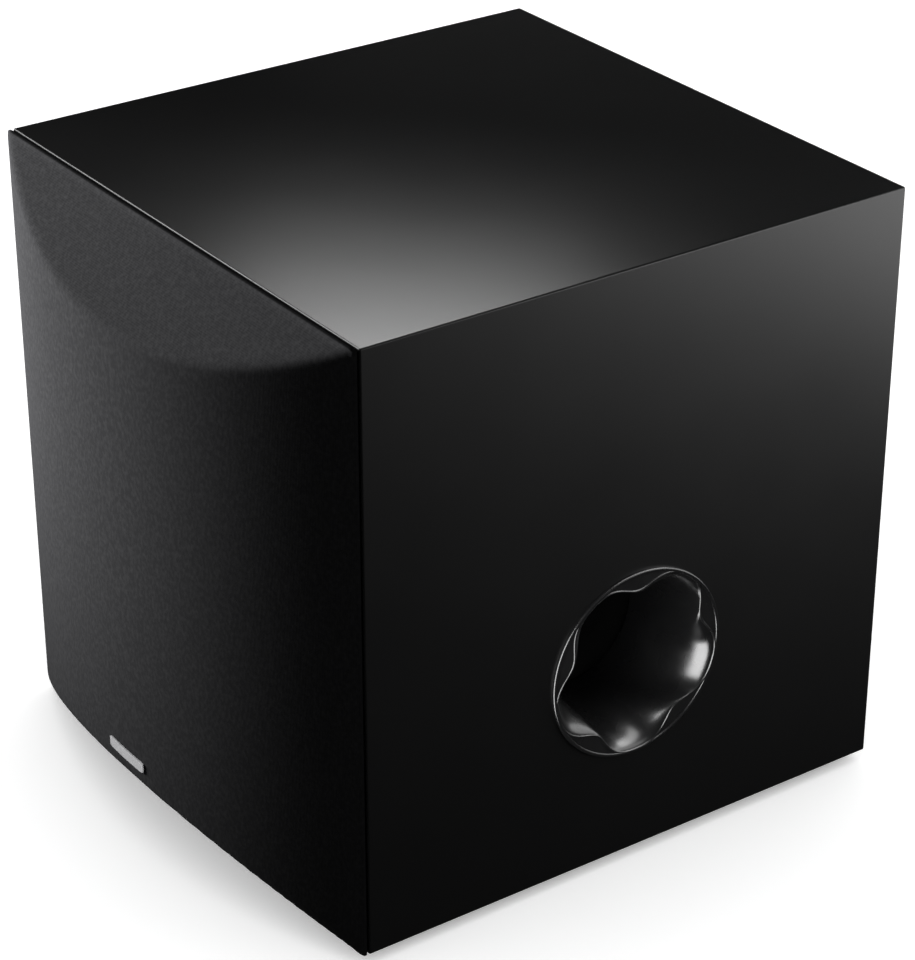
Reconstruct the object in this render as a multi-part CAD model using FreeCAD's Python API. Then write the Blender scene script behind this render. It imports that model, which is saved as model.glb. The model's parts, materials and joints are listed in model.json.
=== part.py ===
import FreeCAD, Part
import math
import os

# Powered subwoofer: a sealed box of mitred board with a 20 cm driver behind a bowed cloth grille,
# a twisted five-lobed port in its right side and an amplifier on its back.
# Frame: X right, Z up, the front faces -Y. The origin is on the floor under the middle of the
# whole object. Every size is in millimetres.

V = FreeCAD.Vector

# ---- cabinet ----
WIDTH = 290.0
HEIGHT = 295.5
DEPTH = 290.0
PANEL = 15.0
BAFFLE = 18.0
FOOT_HEIGHT = 6.0
REAR_REACH = 15.0

# ---- grille ----
GRILLE_GAP = 0.8
GRILLE_RIM = 2.0
GRILLE_BULGE = 33.2
TOP_FACET_SLOPE = 1.108
BOTTOM_FACET_SLOPE = 0.947
CLOTH = 0.8
FRAME_GAP = 0.1
FRAME_WALL = 2.4
LATTICE_CELLS = 8
LATTICE_WINDOW = 27.0
LATTICE_MARGIN = 13.0
PEG_CELLS = 3
PEG_RADIUS = 3.4
PEG_LENGTH = 11.0
POST_RADIUS = 5.0
SOCKET_RADIUS = 6.0
SOCKET_DEPTH = 13.0
SLIDING_FIT = 0.05
BADGE_LEFT = -17.5
BADGE_RIGHT = 12.5
BADGE_LOW = 38.0
BADGE_HIGH = 43.4
BADGE_LIFT = (0.1, 1.0)

# ---- derived places ----
PITCH_X = (WIDTH - 2 * LATTICE_MARGIN) / LATTICE_CELLS
PITCH_Z = (HEIGHT - 2 * LATTICE_MARGIN) / LATTICE_CELLS
X_SIDE = WIDTH / 2
BOTTOM = FOOT_HEIGHT
TOP = BOTTOM + HEIGHT
MIDDLE_Z = (BOTTOM + TOP) / 2
GRILLE_DEPTH = GRILLE_GAP + GRILLE_RIM + GRILLE_BULGE
TOTAL_DEPTH = GRILLE_DEPTH + DEPTH + REAR_REACH
FRONT = GRILLE_DEPTH - TOTAL_DEPTH / 2
BACK = FRONT + DEPTH
GRILLE_BACK = FRONT - GRILLE_GAP
BULGE_RADIUS = (X_SIDE**2 + GRILLE_BULGE**2) / (2 * GRILLE_BULGE)
BULGE_AXIS_Y = GRILLE_BACK - GRILLE_RIM - GRILLE_BULGE + BULGE_RADIUS

# ---- port ----
PORT_Y = FRONT + 145.4
PORT_Z = BOTTOM + 100.3
PORT_LOBES = 5
PORT_FIRST_LOBE = -17.4
PORT_TWIST = -34.0
LOBE_SHARPNESS = 0.22
LOBE_MEAN = 42.1
LOBE_HEIGHT = 4.0
LOBE_FADE = 1.3
FLARE_EASE = 2.4
FLARE_SPACING = 1.5
FLARE_SECTIONS = 7
FLANGE_RADIUS = 47.0
FLANGE_EDGE = 0.7
FLANGE_PROUD = 1.5
FLARE_BODY_RADIUS = 45.2
FLARE_LENGTH = 50.0
TUBE_SEAT = 16.0
THROAT_RADIUS = 34.0
TUBE_INNER = 38.1
TUBE_WALL = 2.0
TUBE_LENGTH = 118.0

# ---- driver: r is the radius, and depths run back from the cabinet's front ----
DRIVER_Z = MIDDLE_Z + 4.0
FLANGE_OUTER = 106.0
FLANGE_INNER = 92.0
FLANGE_SEAT = 2.0
FLANGE_THICK = 2.0
DRIVER_HOLE = 94.0
DRIVER_SCREW_RADIUS = 102.0
DRIVER_SCREWS = 8
DRIVER_SCREW_PHASE = 22.5
CONE_EDGE = 78.0
CONE_NECK = 26.2
CONE_DEPTH = 31.0
CONE_WALL = 1.0
CONE_TOP = 1.0
CAP_EDGE = 31.0
CAP_RISE = 8.0
CAP_WALL = 0.8
SPIDER_EDGE = 61.0
SPIDER_DEPTH = 39.4
SPIDER_WAVES = 5
SPIDER_WAVE = 1.6
SPIDER_WALL = 0.8
SPIDER_LIFT = 1.7
ROLL_CENTRE = 87.2
ROLL_RADIUS = 8.0
ROLL_WALL = 1.0
FORMER_INNER = 25.4
FORMER_OUTER = 25.75
COIL_OUTER = 27.0
POLE_RADIUS = 24.9
GAP_RADIUS = 27.4
COIL_DEPTHS = (58.0, 74.0)
FORMER_END = 75.0
TOP_PLATE_RADIUS = 52.0
TOP_PLATE_DEPTH = 61.6
MAGNET_INNER = 32.0
MAGNET_OUTER = 60.0
MAGNET_DEPTH = 69.6
YOKE_RADIUS = 58.0
YOKE_DEPTH = 89.6
YOKE_END = 96.6
BASKET_WALL = 1.6
BASKET_SPOKES = 8
LEAD_RADIUS = 1.8
LEAD_END_X = 74.0

# ---- amplifier ----
PLATE_WIDTH = 200.0
PLATE_HEIGHT = 220.0
PLATE_THICK = 2.0
CUTOUT_WIDTH = 176.0
CUTOUT_HEIGHT = 196.0
FACE = BACK + PLATE_THICK
BOARD_Y = BACK - 27.5
BOARD_THICK = 1.6
PLATE_SCREW_INSET = 6.0
BOARD_SIZE = (166.0, 94.0)
BOARD_RISE = 47.0
BOARD_HOLE_X = 78.0
BOARD_HOLE_RISES = (7.0, 88.0)
SINK_AT = (0.0, 70.0)
SINK_SIZE = (100.0, 36.0)
SINK_BASE = 4.0
SINK_REACH = 26.0
SINK_FINS = 10
SINK_FIN_WALL = 2.0
TRANSFORMER_AT = (-4.0, -68.0)
TRANSFORMER_DEPTH = 54.0
CAN_PLACES = (-60.0, -34.0, 8.0, 34.0)
CAN_RISE = 24.0
CAN_RADIUS = 9.0
CAN_LENGTH = 28.0
# places on the plate: x, and height from the plate's middle
VOLUME_AT = (-50.0, 75.0)
CROSSOVER_AT = (10.0, 75.0)
LED_AT = (60.0, 75.0)
PHASE_AT = (-50.0, 30.0)
STANDBY_AT = (10.0, 30.0)
RCA_AT = (60.0, 30.0)
TERMINALS_AT = (0.0, -20.0)
ROCKER_AT = (-60.0, -78.0)
INLET_AT = (50.0, -78.0)
KNOB_RADIUS = 11.0
SHAFT_RADIUS = 3.0
BUSHING_RADIUS = 4.4
PHASE_TRAVEL = 4.0
STANDBY_TRAVEL = 3.0
ROCKER_TILT = 7.0
LEVER_PITCH = 14.0
LEVER_WIDTH = 11.0
GUIDE_SPLIT = -2.4
LEVER_PIVOT = (FACE - 8.5, 5.0)
WIRE_HOLE_RADIUS = 1.75
PIN_RADIUS = 1.18
PIN_SPACING = 8.6
BEZEL_THICK = 2.0

# ---- feet and screws ----
FOOT_RADIUS = 16.0
FOOT_INSET = 35.0
FOOT_RECESS = 3.4
PILOT_RADIUS = 2.1
SHANK_RADIUS = 2.0
SHANK_HOLE = 2.3
HEAD_HEIGHT = 2.4
HEAD_SLOT = 4.4
SCREW_CLEARANCE = 0.1


# ---- helpers ----
def box(x0, x1, y0, y1, z0, z1):
    return Part.makeBox(x1 - x0, y1 - y0, z1 - z0, V(x0, y0, z0))


def rod_x(radius, x0, x1, y, z):
    return Part.makeCylinder(radius, x1 - x0, V(x0, y, z), V(1, 0, 0))


def rod_y(radius, x, y0, y1, z):
    return Part.makeCylinder(radius, y1 - y0, V(x, y0, z), V(0, 1, 0))


def rod_z(radius, x, y, z0, z1):
    return Part.makeCylinder(radius, z1 - z0, V(x, y, z0), V(0, 0, 1))


def prism(points, sweep):
    """Flat outline through the points, swept along a vector."""
    return Part.Face(Part.makePolygon(points + [points[0]])).extrude(sweep)


def prism_xz(outline, y0, y1):
    return prism([V(x, y0, z) for x, z in outline], V(0, y1 - y0, 0))


def prism_yz(outline, x0, x1):
    return prism([V(x0, y, z) for y, z in outline], V(x1 - x0, 0, 0))


def rounded_block(x, z, width, height, radius, y0, y1):
    """Block standing on the XZ plane with its four long edges rounded."""
    block = box(x - width / 2, x + width / 2, y0, y1, z - height / 2, z + height / 2)
    long_edges = [e for e in block.Edges if abs(e.tangentAt(e.FirstParameter).y) > 0.99]
    return block.makeFillet(radius, long_edges)


def turned(outline, x=0.0, z=0.0):
    """Solid of revolution about a line along Y: the outline is (radius, y)."""
    points = [V(r, y, 0) for r, y in outline]
    face = Part.Face(Part.makePolygon(points + [points[0]]))
    return move(face.revolve(V(0, 0, 0), V(0, 1, 0), 360), x, 0, z)


def turned_driver(outline):
    """Solid of revolution about the driver's axis: the outline is (radius, depth)."""
    return turned([(r, FRONT + depth) for r, depth in outline], 0.0, DRIVER_Z)


def move(shape, x, y, z):
    shape.translate(V(x, y, z))
    return shape


def fuse(shapes):
    whole = shapes[0].fuse(shapes[1:])
    return whole.removeSplitter()


def cut(shape, tools):
    return shape.cut(tools)


def on_plate(place):
    """Absolute x and z of a place on the amplifier's plate."""
    return place[0], MIDDLE_Z + place[1]


def driver_screw_places():
    """Places on a circle about the driver's axis, as (x, z)."""
    step = 360.0 / DRIVER_SCREWS
    angles = [math.radians(DRIVER_SCREW_PHASE + step * i) for i in range(DRIVER_SCREWS)]
    radius = DRIVER_SCREW_RADIUS
    return [(radius * math.cos(a), DRIVER_Z + radius * math.sin(a)) for a in angles]


def cross_slot(x, y0, y1, z, size):
    """Cross-head recess."""
    half = size / 2
    thin = size / 8
    upright = box(x - thin, x + thin, y0, y1, z - half, z + half)
    level = box(x - half, x + half, y0, y1, z - thin, z + thin)
    return upright.fuse(level)


# ---- cabinet ----
def mitred_panels():
    inner_x = X_SIDE - PANEL
    low = BOTTOM + PANEL
    high = TOP - PANEL
    top = prism_xz([(-X_SIDE, TOP), (X_SIDE, TOP), (inner_x, high), (-inner_x, high)], FRONT, BACK)
    bottom = prism_xz([(-X_SIDE, BOTTOM), (X_SIDE, BOTTOM), (inner_x, low), (-inner_x, low)], FRONT, BACK)
    left = prism_xz([(-X_SIDE, BOTTOM), (-X_SIDE, TOP), (-inner_x, high), (-inner_x, low)], FRONT, BACK)
    right = prism_xz([(X_SIDE, BOTTOM), (X_SIDE, TOP), (inner_x, high), (inner_x, low)], FRONT, BACK)
    port_hole = rod_x(FLARE_BODY_RADIUS + 0.3, inner_x - 1, X_SIDE + 1, PORT_Y, PORT_Z)
    foot_holes = [rod_z(PILOT_RADIUS, x, y, BOTTOM - 1, BOTTOM + 13) for x, y in foot_places()]
    return top, cut(bottom, foot_holes), left, cut(right, [port_hole])


def inner_board(y0, y1):
    inner_x = X_SIDE - PANEL
    return box(-inner_x, inner_x, y0, y1, BOTTOM + PANEL, TOP - PANEL)


def peg_places():
    across = PEG_CELLS * PITCH_X
    up = PEG_CELLS * PITCH_Z
    return [(sx * across, MIDDLE_Z + sz * up) for sx in (-1, 1) for sz in (-1, 1)]


def front_baffle():
    board = inner_board(FRONT, FRONT + BAFFLE)
    tools = [
        rod_y(DRIVER_HOLE, 0, FRONT - 1, FRONT + BAFFLE + 1, DRIVER_Z),
        rod_y(FLANGE_OUTER + 0.3, 0, FRONT - 1, FRONT + FLANGE_SEAT + FLANGE_THICK, DRIVER_Z),
    ]
    for x, z in peg_places():
        tools.append(rod_y(SOCKET_RADIUS + SCREW_CLEARANCE, x, FRONT - 1, FRONT + SOCKET_DEPTH, z))
    for x, z in driver_screw_places():
        tools.append(rod_y(PILOT_RADIUS, x, FRONT, FRONT + 16, z))
    return cut(board, tools)


def amp_screw_places():
    side = PLATE_WIDTH / 2 - PLATE_SCREW_INSET
    rise = PLATE_HEIGHT / 2 - PLATE_SCREW_INSET
    columns = (-side, 0.0, side)
    rows = (-rise, -PLATE_HEIGHT / 6, PLATE_HEIGHT / 6, rise)
    ends = [(x, rows[i]) for x in columns for i in (0, -1)]
    sides = [(x, z) for x in (columns[0], columns[-1]) for z in rows[1:3]]
    return [on_plate(place) for place in ends + sides]


def rear_panel():
    board = inner_board(BACK - PANEL, BACK)
    cutout = rounded_block(0, MIDDLE_Z, CUTOUT_WIDTH, CUTOUT_HEIGHT, 8, BACK - PANEL - 1, BACK + 1)
    pilots = [rod_y(PILOT_RADIUS, x, BACK - 12, BACK + 1, z) for x, z in amp_screw_places()]
    return cut(board, [cutout] + pilots)


def damping_felt():
    """Two felt mats: one on the left wall and one under the top."""
    wall = X_SIDE - PANEL
    left = box(-wall + 0.1, -wall + 10, FRONT + 40, BACK - 40, BOTTOM + 40, TOP - 40)
    top = box(-wall + 30, wall - 30, FRONT + 50, BACK - 50, TOP - PANEL - 10, TOP - PANEL - 0.1)
    return Part.makeCompound([left, top])


def foot_places():
    x = X_SIDE - FOOT_INSET
    return [(sx * x, y) for sx in (-1, 1) for y in (FRONT + FOOT_INSET, BACK - FOOT_INSET)]


def one_foot(x, y):
    outline = [(SHANK_HOLE, FOOT_RECESS), (5.2, FOOT_RECESS), (5.2, 0), (FOOT_RADIUS - 2.5, 0)]
    outline += [(FOOT_RADIUS - 1, 1.2), (FOOT_RADIUS, 4.5)]
    outline += [(FOOT_RADIUS, FOOT_HEIGHT), (SHANK_HOLE, FOOT_HEIGHT)]
    points = [V(r, 0, z) for r, z in outline]
    face = Part.Face(Part.makePolygon(points + [points[0]]))
    return move(face.revolve(V(0, 0, 0), V(0, 0, 1), 360), x, y, 0)


def one_foot_screw(x, y):
    head = rod_z(4.6, x, y, 1.2, FOOT_RECESS)
    shank = rod_z(SHANK_RADIUS, x, y, FOOT_RECESS, BOTTOM + 12)
    slot = box(x - 3, x + 3, y - 0.5, y + 0.5, 1.2, 2.2)
    return cut(head.fuse(shank), [slot]).removeSplitter()


# ---- grille ----
def grille_envelope(inset):
    """The grille's outer form, moved in by inset on every face but its flat back."""
    rim_y = GRILLE_BACK - GRILLE_RIM
    reach = GRILLE_BULGE + 10
    outline = [(GRILLE_BACK, BOTTOM + inset)]
    for edge, sign, slope in ((BOTTOM, 1, BOTTOM_FACET_SLOPE), (TOP, -1, TOP_FACET_SLOPE)):
        slant = math.sqrt(1 + slope**2)
        start = inset * (1 - slant) / slope
        near = (rim_y - start, edge + sign * inset)
        far = (rim_y - reach, edge + sign * (slope * reach + inset * slant))
        outline += [near, far] if sign > 0 else [far, near]
    outline.append((GRILLE_BACK, TOP - inset))
    side = X_SIDE - inset
    column = rod_z(BULGE_RADIUS - inset, 0, BULGE_AXIS_Y, BOTTOM - 1, TOP + 1)
    return column.common(prism_yz(outline, -side, side))


def grille_cloth():
    return cut(grille_envelope(0), [grille_envelope(CLOTH)])


def grille_frame():
    """Moulded lattice with four posts that end in pegs."""
    outer = grille_envelope(CLOTH + FRAME_GAP)
    inner = grille_envelope(CLOTH + FRAME_GAP + FRAME_WALL)
    shell = cut(outer, [inner])
    half = LATTICE_WINDOW / 2
    windows = []
    for i in range(LATTICE_CELLS):
        x = -X_SIDE + LATTICE_MARGIN + (i + 0.5) * PITCH_X
        for j in range(LATTICE_CELLS):
            z = BOTTOM + LATTICE_MARGIN + (j + 0.5) * PITCH_Z
            windows.append(box(x - half, x + half, FRONT - 60, GRILLE_BACK + 1, z - half, z + half))
    pieces = [cut(shell, windows)]
    for x, z in peg_places():
        pad = rod_y(9, x, FRONT - 60, GRILLE_BACK, z).common(shell)
        post = rod_y(POST_RADIUS, x, FRONT - 60, GRILLE_BACK, z).common(outer)
        peg = rod_y(PEG_RADIUS, x, GRILLE_BACK - 1, FRONT + PEG_LENGTH, z)
        pieces += [pad, post, peg]
    return fuse(pieces)


def one_socket(x, z):
    cup = rod_y(SOCKET_RADIUS, x, FRONT, FRONT + SOCKET_DEPTH, z)
    bore = rod_y(PEG_RADIUS + SLIDING_FIT, x, FRONT - 1, FRONT + PEG_LENGTH + 0.6, z)
    return cut(cup, [bore])


def badge():
    """Blank plate on the cloth, low in the middle, following the bow."""
    low = BOTTOM + BADGE_LOW
    high = BOTTOM + BADGE_HIGH
    inner, outer = [rod_z(BULGE_RADIUS + lift, 0, BULGE_AXIS_Y, low, high) for lift in BADGE_LIFT]
    window = box(BADGE_LEFT, BADGE_RIGHT, FRONT - 60, FRONT, low, high)
    return cut(outer, [inner]).common(window)


# ---- port ----
def lobed_wire(x, mean, lobe, twist):
    """Closed curve with rounded lobes and tighter valleys, round the port's axis."""
    points = []
    count = 90
    for i in range(count):
        angle = 2 * math.pi * i / count
        wave = math.cos(PORT_LOBES * angle) - LOBE_SHARPNESS * math.cos(2 * PORT_LOBES * angle)
        radius = mean + lobe * wave
        turn = angle + math.radians(PORT_FIRST_LOBE + twist)
        points.append(V(x, PORT_Y + radius * math.cos(turn), PORT_Z + radius * math.sin(turn)))
    curve = Part.BSplineCurve()
    curve.interpolate(points, PeriodicFlag=True)
    return Part.Wire(curve.toShape())


def port_flare():
    mouth = X_SIDE + FLANGE_PROUD
    end = mouth - FLARE_LENGTH
    least_lobe = 0.05
    wires = [lobed_wire(mouth + 0.2, LOBE_MEAN + 0.2, LOBE_HEIGHT, 0.0)]
    for i in range(1, FLARE_SECTIONS + 1):
        t = i / FLARE_SECTIONS
        ease = 1 - (1 - t) ** FLARE_EASE
        mean = LOBE_MEAN + (THROAT_RADIUS - LOBE_MEAN) * ease
        lobe = LOBE_HEIGHT * (1 - t) ** LOBE_FADE
        x = mouth - FLARE_LENGTH * t**FLARE_SPACING
        wires.append(lobed_wire(x, mean, max(lobe, least_lobe), PORT_TWIST * t))
    wires.append(lobed_wire(end - 1, THROAT_RADIUS, least_lobe, PORT_TWIST))
    passage = Part.makeLoft(wires, True)
    outline = [
        (5.0, end),
        (TUBE_INNER - SCREW_CLEARANCE, end),
        (TUBE_INNER - SCREW_CLEARANCE, end + TUBE_SEAT),
        (FLARE_BODY_RADIUS, end + TUBE_SEAT + 10),
        (FLARE_BODY_RADIUS, X_SIDE),
        (FLANGE_RADIUS, X_SIDE),
        (FLANGE_RADIUS, mouth - FLANGE_EDGE),
        (FLANGE_RADIUS - FLANGE_EDGE, mouth),
        (5.0, mouth),
    ]
    points = [V(x, r, 0) for r, x in outline]
    face = Part.Face(Part.makePolygon(points + [points[0]]))
    body = move(face.revolve(V(0, 0, 0), V(1, 0, 0), 360), 0, PORT_Y, PORT_Z)
    core = rod_x(6.0, end - 1, mouth + 1, PORT_Y, PORT_Z)
    return cut(body, [passage, core])


def port_tube():
    start = X_SIDE + FLANGE_PROUD - FLARE_LENGTH + TUBE_SEAT - 2
    outer = rod_x(TUBE_INNER + TUBE_WALL, start - TUBE_LENGTH, start, PORT_Y, PORT_Z)
    bore = rod_x(TUBE_INNER, start - TUBE_LENGTH - 1, start + 1, PORT_Y, PORT_Z)
    return cut(outer, [bore])


# ---- driver ----
def driver_basket():
    """Pressed steel frame: flange, spoked bowl, spider shelf, neck and magnet seat."""
    seat = FLANGE_SEAT
    wall = BASKET_WALL
    outline = [
        (FLANGE_INNER, seat),
        (FLANGE_OUTER, seat),
        (FLANGE_OUTER, seat + FLANGE_THICK),
        (FLANGE_INNER + wall, seat + FLANGE_THICK),
        (FLANGE_INNER - 4 + wall, 12.0),
        (62.0 + wall, 42.0),
        (62.0 + wall, 42.0 + wall),
        (48.0 + wall, 44.0 + wall),
        (48.0, 60.0 + wall),
        (28.0, 60.0 + wall),
        (28.0, 60.0),
        (46.4, 60.0),
        (48.0, 42.0 + wall),
        (50.0, 42.0),
        (62.0, 42.0),
        (FLANGE_INNER - 4, 12.0 - wall),
    ]
    bowl = turned_driver(outline)
    windows = []
    for i in range(BASKET_SPOKES):
        window = box(66, 110, FRONT + 10, FRONT + 40, -15, 15)
        window.rotate(V(0, 0, 0), V(0, 1, 0), (i + 0.5) * 360.0 / BASKET_SPOKES)
        windows.append(move(window, 0, 0, DRIVER_Z))
    return cut(bowl, windows + flange_holes())


def flange_holes():
    return [rod_y(SHANK_HOLE, x, FRONT - 1, FRONT + 6, z) for x, z in driver_screw_places()]


def driver_gasket():
    ring = driver_ring(ROLL_CENTRE + ROLL_RADIUS + 3.0, FLANGE_OUTER, 0.0, FLANGE_SEAT)
    return cut(ring, flange_holes())


def surround():
    """Half-roll rubber ring between the cone's edge and the flange."""
    y = FRONT + FLANGE_SEAT
    outer = ROLL_RADIUS + ROLL_WALL / 2
    inner = ROLL_RADIUS - ROLL_WALL / 2
    outer_in = V(ROLL_CENTRE - outer, y, 0)
    outer_out = V(ROLL_CENTRE + outer, y, 0)
    inner_in = V(ROLL_CENTRE - inner, y, 0)
    inner_out = V(ROLL_CENTRE + inner, y, 0)
    edges = [
        Part.Arc(outer_in, V(ROLL_CENTRE, y - outer, 0), outer_out).toShape(),
        Part.makeLine(outer_out, inner_out),
        Part.Arc(inner_out, V(ROLL_CENTRE, y - inner, 0), inner_in).toShape(),
        Part.makeLine(inner_in, outer_in),
    ]
    roll = Part.Face(Part.Wire(edges)).revolve(V(0, 0, 0), V(0, 1, 0), 360)
    roll = move(roll, 0, 0, DRIVER_Z)
    top = FLANGE_SEAT - ROLL_WALL
    inner_lip = driver_ring(CONE_EDGE + 0.35, ROLL_CENTRE - inner, top, FLANGE_SEAT)
    outer_lip = driver_ring(ROLL_CENTRE + inner, ROLL_CENTRE + ROLL_RADIUS + 2.9, top, FLANGE_SEAT)
    return fuse([roll, inner_lip, outer_lip])


def cone():
    outline = [
        (CONE_NECK, CONE_DEPTH),
        (CONE_EDGE, CONE_TOP),
        (CONE_EDGE, CONE_TOP + CONE_WALL),
        (CONE_NECK, CONE_DEPTH + CONE_WALL),
    ]
    return turned_driver(outline)


def dust_cap():
    """Shallow dome over the neck of the cone."""
    cone_slope = (CONE_DEPTH - CONE_TOP) / (CONE_EDGE - CONE_NECK)
    depth = CONE_DEPTH - (CAP_EDGE - CONE_NECK) * cone_slope - 0.2
    radius = (CAP_EDGE**2 + CAP_RISE**2) / (2 * CAP_RISE)
    centre_y = FRONT + depth - CAP_RISE + radius
    ball = Part.makeSphere(radius, V(0, centre_y, DRIVER_Z))
    hollow = Part.makeSphere(radius - CAP_WALL, V(0, centre_y, DRIVER_Z))
    zone = rod_y(CAP_EDGE, 0, FRONT - 20, FRONT + depth, DRIVER_Z)
    return cut(ball, [hollow]).common(zone)


def driver_ring(inner, outer, depth0, depth1):
    return turned_driver([(inner, depth0), (outer, depth0), (outer, depth1), (inner, depth1)])


def spider():
    """Corrugated cloth disc that centres the coil."""
    start = FORMER_OUTER + 0.4
    top = [(start, SPIDER_DEPTH)]
    quarters = 4 * SPIDER_WAVES
    step = (SPIDER_EDGE - 4 - start) / quarters
    for i in range(1, quarters + 1):
        depth = SPIDER_DEPTH + SPIDER_WAVE * math.sin(i * math.pi / 2)
        top.append((start + i * step, depth))
    top.append((SPIDER_EDGE, SPIDER_DEPTH + SPIDER_LIFT))
    bottom = [(r, depth + SPIDER_WALL) for r, depth in reversed(top)]
    return turned_driver(top + bottom)


def pole_yoke():
    outline = [(0, TOP_PLATE_DEPTH), (POLE_RADIUS, TOP_PLATE_DEPTH), (POLE_RADIUS, YOKE_DEPTH)]
    outline += [(YOKE_RADIUS, YOKE_DEPTH), (YOKE_RADIUS, YOKE_END), (0, YOKE_END)]
    return turned_driver(outline)


def driver_terminals():
    """Fibre strip with two tags on top of the basket's neck."""
    base = DRIVER_Z + 49.8
    strip = box(-9, 9, FRONT + 50, FRONT + 58, base, base + 2)
    tags = [box(x - 1.5, x + 1.5, FRONT + 52, FRONT + 52.8, base + 2, base + 8) for x in (-5, 5)]
    return fuse([strip] + tags)


def driver_screws():
    screws = []
    for x, z in driver_screw_places():
        head = rod_y(3.8, x, FRONT - HEAD_HEIGHT, FRONT, z)
        shank = rod_y(SHANK_RADIUS, x, FRONT, FRONT + 15, z)
        slot = cross_slot(x, FRONT - HEAD_HEIGHT - 0.1, FRONT - HEAD_HEIGHT / 2, z, HEAD_SLOT)
        screws.append(cut(fuse([head, shank]), [slot]))
    return Part.makeCompound(screws)


def speaker_wire():
    """Lead from the driver's tags over the port to the board: straight runs and tangent arcs."""
    start_y = FRONT + 54.5
    route = [
        V(5, start_y, DRIVER_Z + 58),
        V(5, start_y, DRIVER_Z + 92),
        V(28, start_y + 75, DRIVER_Z + 106),
        V(58, start_y + 150, DRIVER_Z + 96),
        V(LEAD_END_X, BOARD_Y - 32, DRIVER_Z + 74),
        V(LEAD_END_X, BOARD_Y - 0.1, DRIVER_Z + 74),
    ]
    edges = []
    last = route[0]
    for before, corner, after in zip(route, route[1:], route[2:]):
        back = before - corner
        ahead = after - corner
        reach = 0.45 * min(back.Length, ahead.Length)
        arc_start = corner + back.normalize() * reach
        arc_end = corner + ahead.normalize() * reach
        half_turn = (math.pi - back.getAngle(ahead)) / 2
        radius = reach / math.tan(half_turn)
        bisector = (back + ahead).normalize()
        centre_distance = radius / math.cos(half_turn)
        arc_middle = corner + bisector * (centre_distance - radius)
        edges.append(Part.makeLine(last, arc_start))
        edges.append(Part.Arc(arc_start, arc_middle, arc_end).toShape())
        last = arc_end
    edges.append(Part.makeLine(last, route[-1]))
    path = Part.Wire(edges)
    ring = Part.Wire(Part.makeCircle(LEAD_RADIUS, route[0], V(0, 0, 1)))
    return path.makePipeShell([ring], True, False)


# ---- amplifier ----
def slot_block(place, half_width, half_height, y0, y1):
    x, z = on_plate(place)
    return box(x - half_width, x + half_width, y0, y1, z - half_height, z + half_height)


def plate_rod(place, radius, y0, y1):
    x, z = on_plate(place)
    return rod_y(radius, x, y0, y1, z)


def amp_plate():
    plate = rounded_block(0, MIDDLE_Z, PLATE_WIDTH, PLATE_HEIGHT, 6, BACK, FACE)
    y0 = BACK - 1
    y1 = FACE + 1
    tools = [
        plate_rod(VOLUME_AT, BUSHING_RADIUS + 0.2, y0, y1),
        plate_rod(CROSSOVER_AT, BUSHING_RADIUS + 0.2, y0, y1),
        plate_rod(LED_AT, 1.65, y0, y1),
        plate_rod(RCA_AT, 6.2, y0, y1),
        slot_block(PHASE_AT, 2.5 + PHASE_TRAVEL / 2 + 0.4, 2.3, y0, y1),
        slot_block(STANDBY_AT, 2.5 + STANDBY_TRAVEL + 0.4, 2.3, y0, y1),
        slot_block(TERMINALS_AT, 27.3, 11.3, y0, y1),
        slot_block(ROCKER_AT, 7.8, 11.8, y0, y1),
        slot_block(INLET_AT, 12.3, 7.8, y0, y1),
    ]
    tools += [rod_y(SHANK_HOLE, x, y0, y1, z) for x, z in amp_screw_places()]
    return cut(plate, tools)


def amp_gasket():
    """Foam strip lining the cutout behind the plate."""
    gap = 0.4
    strip = 6.0
    width = CUTOUT_WIDTH - gap
    height = CUTOUT_HEIGHT - gap
    outer = rounded_block(0, MIDDLE_Z, width, height, 7.8, BACK - 5, BACK)
    inner = rounded_block(0, MIDDLE_Z, width - strip, height - strip, 5, BACK - 6, BACK + 1)
    return cut(outer, [inner])


def board_corners():
    return [(sx * BOARD_HOLE_X, rise) for sx in (-1, 1) for rise in BOARD_HOLE_RISES]


def amp_board():
    half_width = BOARD_SIZE[0] / 2
    half_height = BOARD_SIZE[1] / 2
    board = slot_block((0, BOARD_RISE), half_width, half_height, BOARD_Y, BOARD_Y + BOARD_THICK)
    holes = [plate_rod(place, 1.6, BOARD_Y - 1, BOARD_Y + 3) for place in board_corners()]
    return cut(board, holes)


def board_standoffs():
    posts = [plate_rod(place, 3.0, BOARD_Y + BOARD_THICK, BACK) for place in board_corners()]
    return Part.makeCompound(posts)


def heat_sink():
    x, z = on_plate(SINK_AT)
    half_width = SINK_SIZE[0] / 2
    half_height = SINK_SIZE[1] / 2
    root = BOARD_Y - SINK_BASE
    base = box(x - half_width, x + half_width, root, BOARD_Y, z - half_height, z + half_height)
    fins = []
    for i in range(SINK_FINS):
        left = x - half_width + i * (SINK_SIZE[0] - SINK_FIN_WALL) / (SINK_FINS - 1)
        tip = BOARD_Y - SINK_REACH
        fins.append(box(left, left + SINK_FIN_WALL, tip, root, z - half_height, z + half_height))
    return fuse([base] + fins)


def transformer_core():
    x, z = on_plate(TRANSFORMER_AT)
    block = box(x - 32, x + 32, BACK - TRANSFORMER_DEPTH, BACK, z - 12, z + 12)
    middle = BACK - TRANSFORMER_DEPTH / 2
    windows = [
        box(x + 10, x + 21, middle - 16, middle + 16, z - 13, z + 13),
        box(x - 21, x - 10, middle - 16, middle + 16, z - 13, z + 13),
    ]
    return cut(block, windows)


def transformer_winding():
    x, z = on_plate(TRANSFORMER_AT)
    middle = BACK - TRANSFORMER_DEPTH / 2
    coil = box(x - 20.8, x + 20.8, middle - 15.5, middle + 15.5, z - 22, z + 22)
    leg = box(x - 10.2, x + 10.2, middle - 16, middle + 16, z - 12.2, z + 12.2)
    return cut(coil, [leg])


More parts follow.
